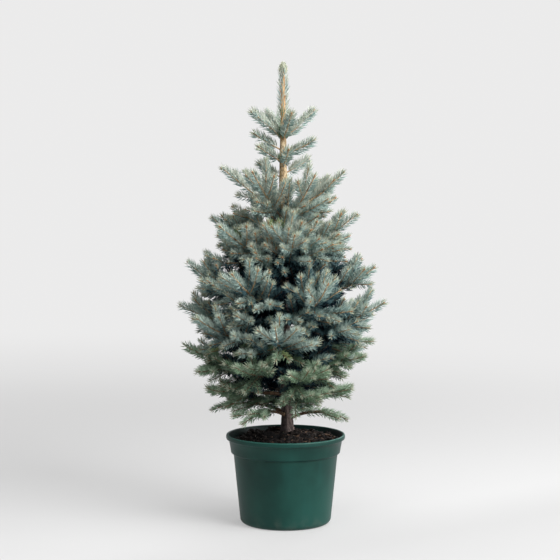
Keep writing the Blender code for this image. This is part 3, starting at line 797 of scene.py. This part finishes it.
def trunk_finish():
    """Dark grey-brown at the foot, golden tan with dark streaks above, orange tan on the leader."""
    crack, peg, left_low_colour = (0.012, 0.009, 0.009), (0.075, 0.052, 0.026), (0.01, 0.007, 0.008)
    surface = Surface("trunk_bark")
    height = surface.along("Z")
    streak = surface.noise(150, 4, 0.16, 0.62)
    patch = surface.noise(36, 3, 0.5)
    plates = surface.cells(230, 0.38, "DISTANCE_TO_EDGE")
    old = streak.ramp(0.36, 0.64).blend((0.042, 0.032, 0.031), (0.235, 0.178, 0.16))
    old = plates.ramp(0.0, 0.1, 0.6, 0.0).blend(old, crack)
    pegs = surface.cells(210, 0.45, "DISTANCE_TO_EDGE").ramp(0.0, 0.11, 0.85, 0.0)
    young = streak.ramp(0.4, 0.6).blend((0.3, 0.205, 0.105), (0.72, 0.56, 0.36))
    young = pegs.blend(young, peg)
    fresh = streak.ramp(0.35, 0.65).blend((0.32, 0.175, 0.08), (0.6, 0.41, 0.23))
    colour = (height + patch * 0.16).ramp(0.62, 0.86).blend(old, young)
    colour = height.ramp(0.92, 1.0).blend(colour, fresh)
    # The trunk's left side is darker just above the soil
    left_low_share = (surface.along("X") + patch * 0.012).ramp(0.013, 0.004) * 0.85
    left_low_share = left_low_share * (height + patch * 0.05).ramp(0.33, 0.29)
    colour = left_low_share.blend(colour, left_low_colour)
    return surface.set(colour, 0.7 + streak * 0.2, streak + plates * 1.5, 0.0007, 0.8)


def bough_finish():
    """Dull brown, and tan on the boughs of the upper crown."""
    surface = Surface("bough_bark")
    streak = surface.noise(240, 4, roughness=0.6)
    patch = surface.noise(30, 2)
    old = (streak * 0.7 + patch * 0.3).ramp(0.36, 0.62).blend((0.042, 0.026, 0.018), (0.17, 0.105, 0.062))
    young = streak.ramp(0.36, 0.62).blend((0.16, 0.085, 0.042), (0.36, 0.22, 0.12))
    colour = surface.along("Z").ramp(0.66, 0.82).blend(old, young)
    return surface.set(colour, 0.72 + streak * 0.2, streak, 0.0006, 0.8)


def painted_shade_low_down(surface, colour):
    """A bark colour, darkened low in the crown as painted shade."""
    return surface.along("Z").ramp(0.56, 0.38, 0.0, 0.72).blend(colour, (0.085, 0.06, 0.04))


def twig_finish(name, dark, light):
    surface = Surface(name, 0.3)
    pegs = surface.cells(900)
    patch = surface.noise(45, 3)
    colour = patch.ramp(0.36, 0.62).blend(dark, light)
    colour = pegs.ramp(0.1, 0.5, 0.35, 0.0).blend(colour, tuple(value * 0.4 for value in dark))
    return surface.set(painted_shade_low_down(surface, colour), 0.6 + patch * 0.2, pegs, 0.0003, 0.7)


def bud_finish():
    surface = Surface("bud_scales", 0.4)
    scale = surface.cells(1100)
    colour = scale.ramp(0.15, 0.6).blend((0.2, 0.09, 0.038), (0.4, 0.215, 0.105))
    return surface.set(painted_shade_low_down(surface, colour), 0.5 + scale * 0.2, scale, 0.0003, 0.7)


def needle_finish(name, colour, gloss):
    """Wax over green: an even base colour, a little patchy, with a soft gloss."""
    surface = Surface(name, gloss)
    wax = surface.noise(170, 2)
    dull, bright = (tuple(value * share for value in colour) for share in (0.86, 1.14))
    return surface.set(wax.ramp(0.35, 0.65).blend(dull, bright), 0.46 + wax * 0.2)


# Pot and soil

def arc(centre, radius, start, stop, count):
    """count + 1 points on an arc in the profile plane, angles in degrees from outwards to up."""
    points = []
    for step in range(count + 1):
        angle = radians(start + (stop - start) * step / count)
        points.append((centre[0] + radius * cos(angle), centre[1] + radius * sin(angle)))
    return points


def make_pot():
    """The pot's profile, up the outside and down the inside, then its drain holes."""
    roll = RIM_THICKNESS / 2
    profile = [(FLAT_RADIUS, 0.0), *arc(FOOT_CENTRE, FOOT_ROUNDING, -90, 0, 10)]
    for share in (0.25, 0.5, 0.75, 1.0):
        profile.append((BODY_FOOT_RADIUS + (BODY_TOP_RADIUS - BODY_FOOT_RADIUS) * share,
                        FOOT_ROUNDING + (BODY_TOP - FOOT_ROUNDING) * share))
    profile += arc((BODY_TOP_RADIUS + STEP_ROUNDING, BODY_TOP), STEP_ROUNDING, 180, 125, 4)[1:]
    profile += arc(COLLAR_EDGE, COLLAR_ROUNDING, -60, 0, 5)
    profile += COLLAR_SIDE
    profile += arc((RIM_RADIUS - roll, RIM_TOP - RIM_HEIGHT + roll), roll, -100, 0, 7)
    profile += arc((RIM_RADIUS - roll, RIM_TOP - roll), roll, 0, 175, 12)
    profile += [(COLLAR_TOP_RADIUS - WALL, RIM_TOP - RIM_HEIGHT)]
    collar_inside = (COLLAR_FOOT_RADIUS - WALL - INNER_ROUNDING, COLLAR_FOOT + WALL)
    profile += arc(collar_inside, INNER_ROUNDING, 0, -50, 2)
    profile += [(BODY_TOP_RADIUS - WALL, BODY_TOP + INNER_ROUNDING)]
    profile += arc(FOOT_CENTRE, FOOT_ROUNDING - WALL, 0, -60, 4)
    profile += [(FLAT_RADIUS, FLOOR)]
    pot = turned("pot_shell", profile, POT_SEGMENTS, 40)
    for hole in range(DRAIN_HOLES):
        angle = tau * (hole + 0.5) / DRAIN_HOLES
        cutter = end(begin(
            bpy.ops.mesh.primitive_cylinder_add, "drain_cutter", vertices=32, radius=DRAIN_RADIUS,
            depth=FLOOR * 4, location=(DRAIN_CIRCLE * cos(angle), DRAIN_CIRCLE * sin(angle), 0),
        ))
        alone(pot)
        cut = pot.modifiers.new("cut", "BOOLEAN")
        cut.operation, cut.object, cut.solver = "DIFFERENCE", cutter, "EXACT"
        bpy.ops.object.modifier_apply(modifier=cut.name)
        bpy.data.objects.remove(cutter)
    place(pot, pot_finish(), "pot_plastic", "pot")


def soil_level(x, y):
    """The soil's height: a mound round the trunk, a heap, lumps, clods and grains."""
    radius, angle = hypot(x, y), atan2(y, x)
    mound = exp(-((max(0.0, radius - TRUNK_SEAT_RADIUS) / MOUND_RADIUS) ** 2))
    level = SOIL_AT_WALL + (SOIL_AT_TRUNK - SOIL_AT_WALL) * mound
    lumps = LUMP_HEIGHT * (sin(3 * angle + radius * 60) + 0.6 * sin(5 * angle - radius * 95))
    clods = CLOD_HEIGHT * noise.fractal(Vector((x * CLOD_SCALE, y * CLOD_SCALE, 1.7)), 0.6, 2.2, 5)
    grains = GRAIN_HEIGHT * noise.noise(Vector((x * GRAIN_SCALE, y * GRAIN_SCALE, 4.1)))
    rough = (clods + grains) * (1 - CALM_SHARE * smooth((radius - CALM_RADIUS) / CALM_WIDTH))
    from_heap = (x - HEAP_PLACE[0]) ** 2 + (y - HEAP_PLACE[1]) ** 2
    heap = HEAP_HEIGHT * exp(-from_heap / HEAP_RADIUS**2)
    return level + heap + (lumps + rough) * smooth((radius - CALM_SEAT_RADIUS) / CALM_WIDTH)


def make_soil():
    """The soil from the pot's floor up, and its top as rings that take the soil's height."""
    profile = [(FLAT_RADIUS, FLOOR + SOIL_GAP), *arc(FOOT_CENTRE, FOOT_ROUNDING - SOIL_INSET, -60, 0, 2),
               (BODY_TOP_RADIUS - SOIL_INSET, BODY_TOP + WALL),
               (COLLAR_FOOT_RADIUS - SOIL_INSET, COLLAR_FOOT + WALL)]
    for ring in range(SOIL_RINGS):
        profile.append((SOIL_EDGE_RADIUS * (1 - ring / SOIL_RINGS), SOIL_AT_WALL))
    soil = turned("soil_bed", profile, SOIL_SEGMENTS)
    for vertex in soil.data.vertices:
        if vertex.co.z > SOIL_AT_WALL - 0.001:
            vertex.co.z = soil_level(vertex.co.x, vertex.co.y)
    place(soil, soil_finish(), "soil", "soil")


CRUMB = (
    np.array([
        (0, 0, 1), (0.87, 0, 0.5), (-0.43, 0.75, 0.5), (-0.43, -0.75, 0.5),
        (0.43, 0.75, -0.5), (-0.87, 0, -0.5), (0.43, -0.75, -0.5), (0, 0, -1),
    ]),
    np.array([
        (0, 1, 2), (0, 2, 3), (0, 3, 1), (1, 4, 2), (2, 5, 3), (3, 6, 1),
        (1, 6, 4), (2, 4, 5), (3, 5, 6), (7, 4, 6), (7, 5, 4), (7, 6, 5),
    ]),
)
CHIP = (
    np.array([
        (-1, -0.8, -1), (1, -1, -1), (0.9, 1, -1), (-0.9, 0.7, -1),
        (-0.7, -1, 1), (0.8, -0.6, 1), (1, 0.8, 1), (-1, 1, 1),
    ]),
    np.array([
        (0, 3, 2), (0, 2, 1), (4, 5, 6), (4, 6, 7), (0, 1, 5), (0, 5, 4),
        (1, 2, 6), (1, 6, 5), (2, 3, 7), (2, 7, 6), (3, 0, 4), (3, 4, 7),
    ]),
)


def strewn(name, shape, count, sizes, material, seed, to_right=0.0, sink=0.35):
    """Bits of one kind that lie on the soil, each turned and squeezed its own way."""
    chance = np.random.default_rng(seed)
    outline, faces = shape
    points, corners = [], []
    while len(points) < count:
        radius, angle = SOIL_EDGE_RADIUS * sqrt(chance.random()), tau * chance.random()
        x, y = radius * cos(angle), radius * sin(angle)
        if (not BITS_FREE_OF_TRUNK < radius < SOIL_EDGE_RADIUS - sizes[1]
                or chance.random() < to_right * (BITS_DROPPED - x / DROPPED_WIDTH)):
            continue
        size = np.array([chance.uniform(*sizes) * squeeze for squeeze in BIT_SQUEEZES])
        bent = outline * (1 + chance.uniform(-BIT_ROUGHNESS, BIT_ROUGHNESS, outline.shape)) * size / 2
        yaw, tilt = tau * chance.random(), chance.normal(0, BIT_TILT)
        turn = np.array([[cos(yaw), -sin(yaw), 0], [sin(yaw), cos(yaw), 0], [0, 0, 1]])
        lean = np.array([[1, 0, 0], [0, cos(tilt), -sin(tilt)], [0, sin(tilt), cos(tilt)]])
        level = soil_level(x, y) + size[2] * (0.5 - sink)
        corners.append(faces + len(outline) * len(points))
        points.append(bent @ (turn @ lean).T + (x, y, level))
    place(joined(name, np.concatenate(points), np.concatenate(corners)), material, "soil")


# Trunk and boughs

def bark_relief(angle, height):
    """How far the bark stands out: plates and fissures low down, leaf pegs above."""
    where = Vector((cos(angle) * 1.4, sin(angle) * 1.4, height * 34))
    plates = noise.voronoi(where * 1.5)[0]
    fissure = smooth((plates[1] - plates[0]) / FISSURE_WIDTH)
    rough = noise.fractal(where * 2.6, 0.8, 2.0, 4)
    low = -FISSURE_DEPTH * (1 - fissure) + PLATE_ROUGHNESS * rough
    ring = height * PEG_RINGS
    peg = max(0.0, sin(ring)) * max(0.0, sin(3 * angle + ring * 0.47))
    high = PEG_HEIGHT * peg + YOUNG_ROUGHNESS * rough
    old = 1 - smooth((height - OLD_BARK_TO) / BARK_CHANGE)
    return low * old + high * (1 - old)


def make_trunk():
    """A cylinder cut into rings, which take the trunk's lean, taper, root flare and bark."""
    length = TRUNK_TOP - TRUNK_FOOT
    trunk = begin(
        bpy.ops.mesh.primitive_cylinder_add, "trunk_bark", vertices=TRUNK_SIDES, radius=1.0,
        depth=length, end_fill_type="NGON", location=(0, 0, TRUNK_FOOT + length / 2),
    )
    bpy.ops.mesh.select_mode(type="EDGE")
    for cuts in TRUNK_CUTS:
        bpy.ops.mesh.select_all(action="DESELECT")
        bpy.ops.object.mode_set(mode="OBJECT")
        points = trunk.data.vertices
        for edge in trunk.data.edges:
            a, b = (points[i].co for i in edge.vertices)
            edge.select = abs(a.z - b.z) > length / 1000
        bpy.ops.object.mode_set(mode="EDIT")
        bpy.ops.mesh.subdivide(number_cuts=cuts)
    bpy.ops.mesh.select_mode(type="VERT")
    end(trunk)
    for vertex in trunk.data.vertices:
        height, angle = vertex.co.z, atan2(vertex.co.y, vertex.co.x)
        flare = FLARE_SPREAD * max(0.0, 1 - (height - TRUNK_FOOT) / FLARE_HEIGHT) ** 2
        ridge = 1 + RIDGE_SHARE * cos(FLARE_RIDGES * angle + 0.6)
        radius = trunk_radius(height) + flare * ridge + bark_relief(angle, height)
        middle = trunk_point(height)
        vertex.co = (middle.x + radius * cos(angle), middle.y + radius * sin(angle), height)
    place(trunk, trunk_finish(), "bark", "trunk")


def unit(rows):
    return rows / np.linalg.norm(rows, axis=1, keepdims=True)


def frames(path):
    """A path's points and its unit vectors ahead, across and above at each, as arrays."""
    path = np.asarray(path, float)
    ahead = unit(np.gradient(path, axis=0))
    guide = np.where(np.abs(ahead[:, 2:]) < 0.95, (0.0, 0.0, 1.0), (1.0, 0.0, 0.0))
    across = unit(np.cross(ahead, guide))
    return path, ahead, across, np.cross(across, ahead)


def distances(path):
    """How far along a path each of its points lies."""
    return np.concatenate([[0], np.cumsum(np.linalg.norm(np.diff(path, axis=0), axis=1))])


def sampled(wanted, at, values):
    """The rows of values, known at some distances, for the distances that are wanted."""
    return np.stack([np.interp(wanted, at, values[:, axis]) for axis in range(3)], axis=1)


def resampled(path, step):
    """A path's points at about even steps, as an array."""
    path = np.asarray([tuple(point) for point in path])
    at = distances(path)
    return sampled(np.linspace(0, at[-1], max(3, round(at[-1] / step) + 1)), at, path)


class Tubes:
    """Tapering rods along paths, gathered for one joined mesh."""

    def __init__(self, sides):
        self.sides, self.points, self.faces, self.count = sides, [], [], 0

    def add(self, path, radii):
        """radii holds a radius for each point, or one for each point and side."""
        path, _, across, above = frames(path)
        turn = np.arange(self.sides) * tau / self.sides
        radii = np.broadcast_to(np.asarray(radii, float).reshape(len(path), -1), (len(path), self.sides))
        ring = across[:, None] * np.cos(turn)[None, :, None] + above[:, None] * np.sin(turn)[None, :, None]
        points = (path[:, None] + ring * radii[:, :, None]).reshape(-1, 3)
        self.points += [points, path[:1], path[-1:]]
        here = self.count + np.arange(len(points)).reshape(-1, self.sides)
        beside = np.roll(here, -1, axis=1)
        foot = np.full(self.sides, self.count + len(points))
        for corners in ((here[:-1], beside[:-1], beside[1:]), (here[:-1], beside[1:], here[1:]),
                        (beside[0], here[0], foot), (here[-1], beside[-1], foot + 1)):
            self.faces.append(np.stack(corners, -1).reshape(-1, 3))
        self.count += len(points) + 2

    def joined(self, name):
        return joined(name, np.concatenate(self.points), np.concatenate(self.faces), True)


def make_boughs(limbs):
    """Each limb's own wood from the trunk outwards, with its collar and rough bark."""
    tubes = Tubes(BOUGH_SIDES)
    for tier, number, course, shoots in limbs:
        whole = course_length(course)
        rough = float(np.interp(course[0].z, BARK_HEIGHTS, BARK_SHARES))
        path = resampled(part_of(course, 0, whole * rough, 12), BOUGH_STEP)
        radii = []
        for index, point in enumerate(path):
            share = index / (len(path) - 1) * rough
            near = max(0.0, 1 - share * whole / COLLAR_LENGTH)
            radius = tier.limb * (1 - LIMB_TAPER * share) * (1 + COLLAR_SWELL * near)
            grain = Vector((point * BOUGH_GRAIN).tolist())
            radii.append([radius * (1 + BOUGH_ROUGHNESS * noise.noise(grain + Vector((side, side * 2, 0))))
                          for side in range(BOUGH_SIDES)])
        tubes.add(path, radii)
    nodes = [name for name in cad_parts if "_bough_" in name]
    place(tubes.joined("bough_bark"), bough_finish(), "bark", *nodes)


# Twigs, buds and needles

NEEDLE_FACES = np.array([(0, 1, 2), (0, 2, 3), (0, 3, 1), (1, 3, 2)])


class Needles:
    """Needles of one tint, gathered for joined meshes: each a long bent body of four faces."""

    def __init__(self):
        self.points, self.nodes = [], []

    def add(self, node, base, direction, outward, curve, length, width):
        side = np.cross(direction, outward)
        side /= np.linalg.norm(side, axis=1, keepdims=True) + 1e-9
        keel = np.cross(side, direction) * (width * NEEDLE_THICKNESS)[:, None]
        middle = base + direction * length[:, None] * NEEDLE_WIDEST + keel
        tip = base + direction * length[:, None] + curve
        half = side * width[:, None] / 2
        self.points.append(np.stack([base, middle + half, middle - half, tip], axis=1))
        self.nodes += [node] * len(base)

    def pieces(self, name, material, most=48000):
        points = np.concatenate(self.points)
        for count, start in enumerate(range(0, len(points), most), 1):
            batch = points[start:start + most]
            faces = (NEEDLE_FACES[None] + 4 * np.arange(len(batch))[:, None, None]).reshape(-1, 3)
            piece = joined(f"{name}_{count}", batch.reshape(-1, 3), faces)
            place(piece, material, "needles", *sorted(set(self.nodes[start:start + most])))


def needles_along(shoot, tufts, bank, tints, length, pitch, root=0.0, bare=0.006, lean=NEEDLE_LEAN):
    """A spiral of needles along a shoot: wide-set at its root, swept forward to its tip.

    Each tint is that of one spray of them, from the root to the tip.
    """
    chance = np.random.default_rng(random.Random(f"{SEED} {shoot.key} needles").getrandbits(32))
    fine, *directions = frames(resampled(shoot.path, 0.004))
    at = distances(fine)
    whole = at[-1]
    count = max(6, int((whole - root - bare) / pitch))
    where = root + bare + (whole - root - bare) * (np.arange(count) + chance.random(count)) / count
    middle, ahead, across, above = (sampled(where, at, values) for values in (fine, *directions))
    share = where / whole
    to_tip = whole - where
    roll = np.arange(count) * radians(SPIRAL_TURN) + chance.normal(0, NEEDLE_ROLL_STRAY, count)
    outward = across * np.cos(roll)[:, None] + above * np.sin(roll)[:, None]
    in_shade = np.interp(outward[:, 2], SHADED_FROM, SHADED_SHARES)
    kept = (outward[:, 2] > HANGING_BELOW) | (chance.random(count) < HANGING_KEPT)
    outward = unit(outward + (0, 0, NEEDLE_LIFT))
    spread = np.radians(np.interp(to_tip, NEAR_TIP, (*LEANS_NEAR_TIP, lean)))
    spread += chance.normal(0, radians(NEEDLE_LEAN_STRAY), count)
    direction = ahead * np.cos(spread)[:, None] + outward * np.sin(spread)[:, None]
    size = length * chance.uniform(*NEEDLE_LENGTHS, count)
    size *= np.interp(to_tip, (0, SHORTER_WITHIN), (SHORTEST_AT_TIP, 1.0))
    wood = shoot.root_radius + (shoot.tip_radius - shoot.root_radius) * share
    base = middle + outward * (wood * 0.8)[:, None]
    curve = (ahead * BEND_AHEAD + np.array([0, 0, BEND_UP]) - outward * BEND_IN) * size[:, None]
    width = NEEDLE_WIDTH * chance.uniform(*NEEDLE_WIDTHS, count)
    tufted = (to_tip < TUFT_WITHIN) & tufts
    # Painted shade: needles that point down more often take the darker shaded tint
    shaded = ~tufted & (chance.random(count) < in_shade)
    spray = np.minimum((share * len(tints)).astype(int), len(tints) - 1)
    for number, tint in enumerate(tints):
        here = kept & (spray == number)
        for tinted, chosen in ((tint, here & ~tufted & ~shaded), ("pale", here & tufted),
                               (SHADED[tint], here & shaded)):
            if chosen.any():
                bank[tinted].add(shoot.node, base[chosen], direction[chosen], outward[chosen],
                                 curve[chosen], size[chosen], width[chosen])


def tint_at(middle, chance):
    """The tint of a spray, by its place in the crown and by chance; the darker tints further in are painted
    shade.
    """
    high, away = middle.z, from_trunk(middle)
    out = outwardness(middle) / right_share(high, away.x / (away.length + 0.001))
    out += stray(chance, OUT_STRAY)
    out += sum(smooth((high - start) / over) * gain for start, over, gain in OUT_BY_HEIGHT)
    if out < DEEP_WITHIN:
        return "deep"
    if out < DUSK_WITHIN:
        return "dusk"
    if FRESH_FROM < high < FRESH_TO and chance.random() < FRESH_SHARE:
        return "fresh"
    greener = smooth((GREEN_BELOW - high) / GREEN_FADE) + stray(chance, GREEN_STRAY) > 0.5
    if out < BLUE_WITHIN and high < BLUE_BELOW:
        return "green" if greener else "blue"
    if greener:
        return "sage"
    return "warm" if high + stray(chance, WARM_STRAY) > WARM_ABOVE else "silver"


def tints_of(shoot, chance):
    """The tint of each spray of a shoot, from its root to its tip."""
    count = max(1, round(course_length(shoot.path) / SPRAY_LENGTH))
    middles = part_of(shoot.path, 0, course_length(shoot.path), 2 * count)[1::2]
    return [tint_at(middle, chance) for middle in middles]


def shortened(shoot):
    """The shoot without the stretch that its last needles fill."""
    whole = course_length(shoot.path)
    return shoot._replace(path=part_of(shoot.path, 0, max(0.4 * whole, whole - TIP_CLEARANCE), 6))


def inside_trunk(shoot):
    """The length of a shoot's first stretch that the trunk hides."""
    start = shoot.path[0]
    return trunk_radius(start.z) + 0.003 if from_trunk(start).length < 0.001 else 0.0


def bud(tubes, foot, heading, size):
    """A pointed bud of rings along its heading."""
    path = [tuple(foot + heading * (size * share)) for share, _ in BUD_RINGS]
    tubes.add(path, [size * BUD_THICKNESS * wide for _, wide in BUD_RINGS])


def make_foliage(shoots):
    """Wood, needles and buds of every shoot, gathered by kind and by tint."""
    bank = defaultdict(Needles)
    young, old, buds = Tubes(5), Tubes(5), Tubes(6)
    for shoot in shoots:
        chance = random.Random(f"{SEED} {shoot.key} tint")
        short = shortened(shoot)
        fine = ".fine" in shoot.key
        tints = tints_of(shoot, chance)
        inner = tints[-1] in ("deep", "dusk")
        deep = set(tints) == {"deep"}
        length = NEEDLE_LENGTH * (INNER_NEEDLES if fine or deep else 1.0)
        pitch = NEEDLE_PITCH * (DEEP_PITCH if deep else 1.0)
        if shoot.node.startswith(("top", "neck")):
            length, pitch = length * HIGH_NEEDLES, pitch * HIGH_PITCH
        elif shoot.node.startswith("hem"):
            length *= HEM_NEEDLES
        needles_along(short, not inner, bank, tints, length, pitch, inside_trunk(shoot))
        whole = course_length(short.path)
        wood = np.linspace(shoot.root_radius, shoot.tip_radius, len(tints) + 1) * 0.98
        for number, tint in enumerate(tints):
            start, stop = (whole * edge / len(tints) for edge in (number, number + 1))
            stretch = resampled(part_of(short.path, start, stop, 4), 0.014)
            radii = np.linspace(wood[number], wood[number + 1], len(stretch))
            # Twigs of the painted-shade sprays within the crown take the dark bark of old wood, darkened
            # partly as painted shade
            (old if tint in ("deep", "dusk") else young).add(stretch, radii)
        tip, ahead = short.path[-1], (short.path[-1] - short.path[-2]).normalized()
        high = smooth((tip.z - 0.42) / 0.3)
        if not inner and chance.random() < (0.1 + 0.3 * high if fine else 1.0):
            bud(buds, tip + ahead * 0.0005, ahead, BUD_LENGTH * (0.55 + 0.45 * high))
        if not fine and not inner and high > 0.2:
            side = ahead.cross(UP).normalized()
            for way in (-1, 1):
                bud(buds, tip - ahead * 0.003, (ahead + side * way * 0.9).normalized(), SIDE_BUD_LENGTH)
    make_leader(bank, buds)
    young_bark = twig_finish("young_twig", (0.32, 0.195, 0.1), (0.53, 0.37, 0.21))
    old_shaded_bark = twig_finish("old_twig", (0.03, 0.021, 0.018), (0.09, 0.06, 0.044))
    place(young.joined("young_twigs"), young_bark, "bark", *sorted({shoot.node for shoot in shoots}))
    place(old.joined("old_twigs"), old_shaded_bark, "bark")
    place(buds.joined("buds"), bud_finish(), "bark")
    for tint, (colour, gloss) in TINTS.items():
        bank[tint].pieces(f"{tint}_needles", needle_finish(f"{tint}_needle", colour, gloss))


def make_leader(bank, buds):
    """The leader's needles, those round its whorls, the tuft at its top, and its buds."""
    def rod(key, path, root_radius, tip_radius, tints, length, pitch, bare=0.0, lean=NEEDLE_LEAN):
        shoot = Shoot(key, "leader_needles", path, root_radius, tip_radius, 0)
        needles_along(shoot, False, bank, tints, length, pitch, bare=bare, lean=lean)

    path = [trunk_point(LEADER_START + (LEADER_END - LEADER_START) * step / 8) for step in range(9)]
    rod("leader", path, trunk_radius(LEADER_START), TRUNK_TOP_RADIUS, ["sage", "warm", "warm"],
        0.0174, 0.0007, 0.006, 55)
    for low, high in WHORLS:
        path = [trunk_point(low), trunk_point((low + high) / 2), trunk_point(high)]
        rod(f"collar {low}", path, trunk_radius(low), trunk_radius(high), ["green"],
            0.015, 0.00016, 0.0, 50)
    top = trunk_point(TRUNK_TOP)
    tuft, spikes = ([top + UP * height for height in heights] for heights in TOP_HEIGHTS)
    rod("tuft", tuft, 0.0052, 0.0006, ["tip"], 0.0108, 0.00012)
    rod("spikes", spikes, 0.0056, 0.004, ["tip"], 0.014, 0.0005)
    for azimuth, height, size in LEADER_BUDS:
        out = flat_heading(radians(azimuth))
        bud(buds, trunk_point(height) + out * 0.003, (out + UP * 0.9).normalized(), size)


# Stage

def make_floor():
    """A pale floor that fades into the backdrop, with a painted shadow at the back left, painted shade at
    the front right, and painted light from its glow near the plant.
    """
    floor = end(begin(bpy.ops.mesh.primitive_circle_add, "floor", vertices=96, radius=FLOOR_RADIUS,
                      fill_type="NGON"))
    surface = Surface("pale_floor", 0.1)
    # Painted shadow at the back left and painted shade towards the front right, on the floor and on its
    # glow
    shade = surface.vector("DISTANCE", surface.place, PAINTED_SHADOW_PLACE).ramp(0.3, 3.2, 0.86, 1.0)
    shade = shade * surface.vector("DOT_PRODUCT", surface.place, PAINTED_SHADE_TOWARDS).ramp(0.0, 0.35, 1.0, 0.86)
    surface.set(shade.blend((0, 0, 0), FLOOR_SHADE), 0.9)
    away = surface.vector("LENGTH", surface.place)
    # The floor glows with the backdrop's colour: half of it near the plant, as painted light that lightens
    # the shadows there, and wholly far out, where it meets the backdrop
    glow = surface.node("Emission", None, (*BACKDROP, 1), shade)
    mixed = surface.node("MixShader", None, away.ramp(0.7, 3.2, 0.5, 1.0),
                         Value(surface, surface.shader.outputs[0]), glow)
    surface.feed(surface.tree.nodes["Material Output"].inputs[0], mixed)
    floor.data.materials.append(surface.material)


def make_surroundings():
    """An even backdrop, and a fill light that is stronger from behind."""
    world = bpy.data.worlds.new("studio")
    bpy.context.scene.world = world
    world.use_nodes = True
    studio = Nodes(world.node_tree)
    seen = studio.tree.nodes["Background"]
    studio.feed(seen.inputs["Color"], (*BACKDROP, 1))
    depth = studio.node("SeparateXYZ", None, studio.node("TexCoord", output="Generated"), output="Y")
    fill = studio.node("Background", Strength=studio.node("MapRange", None, depth, *FILL_LIGHT))
    chosen = studio.node("MixShader", None, studio.node("LightPath", output="Is Camera Ray"), fill,
                         Value(studio, seen.outputs[0]))
    studio.feed(studio.tree.nodes["World Output"].inputs[0], chosen)


def aimed(name, data, where, target):
    """A lamp or camera at its place, turned to its target."""
    obj = bpy.data.objects.new(name, data)
    bpy.context.scene.collection.objects.link(obj)
    obj.location = where
    obj.rotation_euler = (Vector(target) - obj.location).to_track_quat("-Z", "Y").to_euler()
    return obj


def make_lamps_and_camera():
    for name, where, size, power in LAMPS:
        lamp = bpy.data.lights.new(name, "AREA")
        lamp.shape, lamp.size, lamp.energy = "DISK", size, power
        aimed(name, lamp, where, LAMP_AIM)
    camera = aimed("camera", bpy.data.cameras.new("camera"), CAMERA_PLACE, CAMERA_AIM)
    camera.data.sensor_width = 36
    camera.data.lens = CAMERA_LENS
    bpy.context.scene.camera = camera
    bpy.context.scene.view_settings.view_transform = "Standard"


make_floor()
make_surroundings()
make_lamps_and_camera()
make_pot()
make_soil()
strewn("soil_crumbs", CRUMB, 2600, (0.0022, 0.0075), soil_finish(), 11)
strewn("dark_chips", CHIP, 560, (0.005, 0.017),
       chip_finish("dark_bark_chip", (0.0048, 0.0035, 0.0032), (0.0225, 0.0155, 0.0125)), 12)
strewn("tan_chips", CHIP, 170, (0.003, 0.012),
       chip_finish("tan_bark_chip", (0.034, 0.021, 0.015), (0.135, 0.085, 0.058)), 13, 1.0, 0.25)
strewn("pale_grit", CRUMB, 26, (0.0022, 0.0042),
       chip_finish("pale_grit", (0.3, 0.27, 0.22), (0.62, 0.58, 0.5)), 14, sink=-0.2)
make_trunk()
LIMBS, INNER_SHOOTS = grow()
make_boughs(LIMBS)
make_foliage([shoot for limb in LIMBS for shoot in limb[3]] + INNER_SHOOTS)
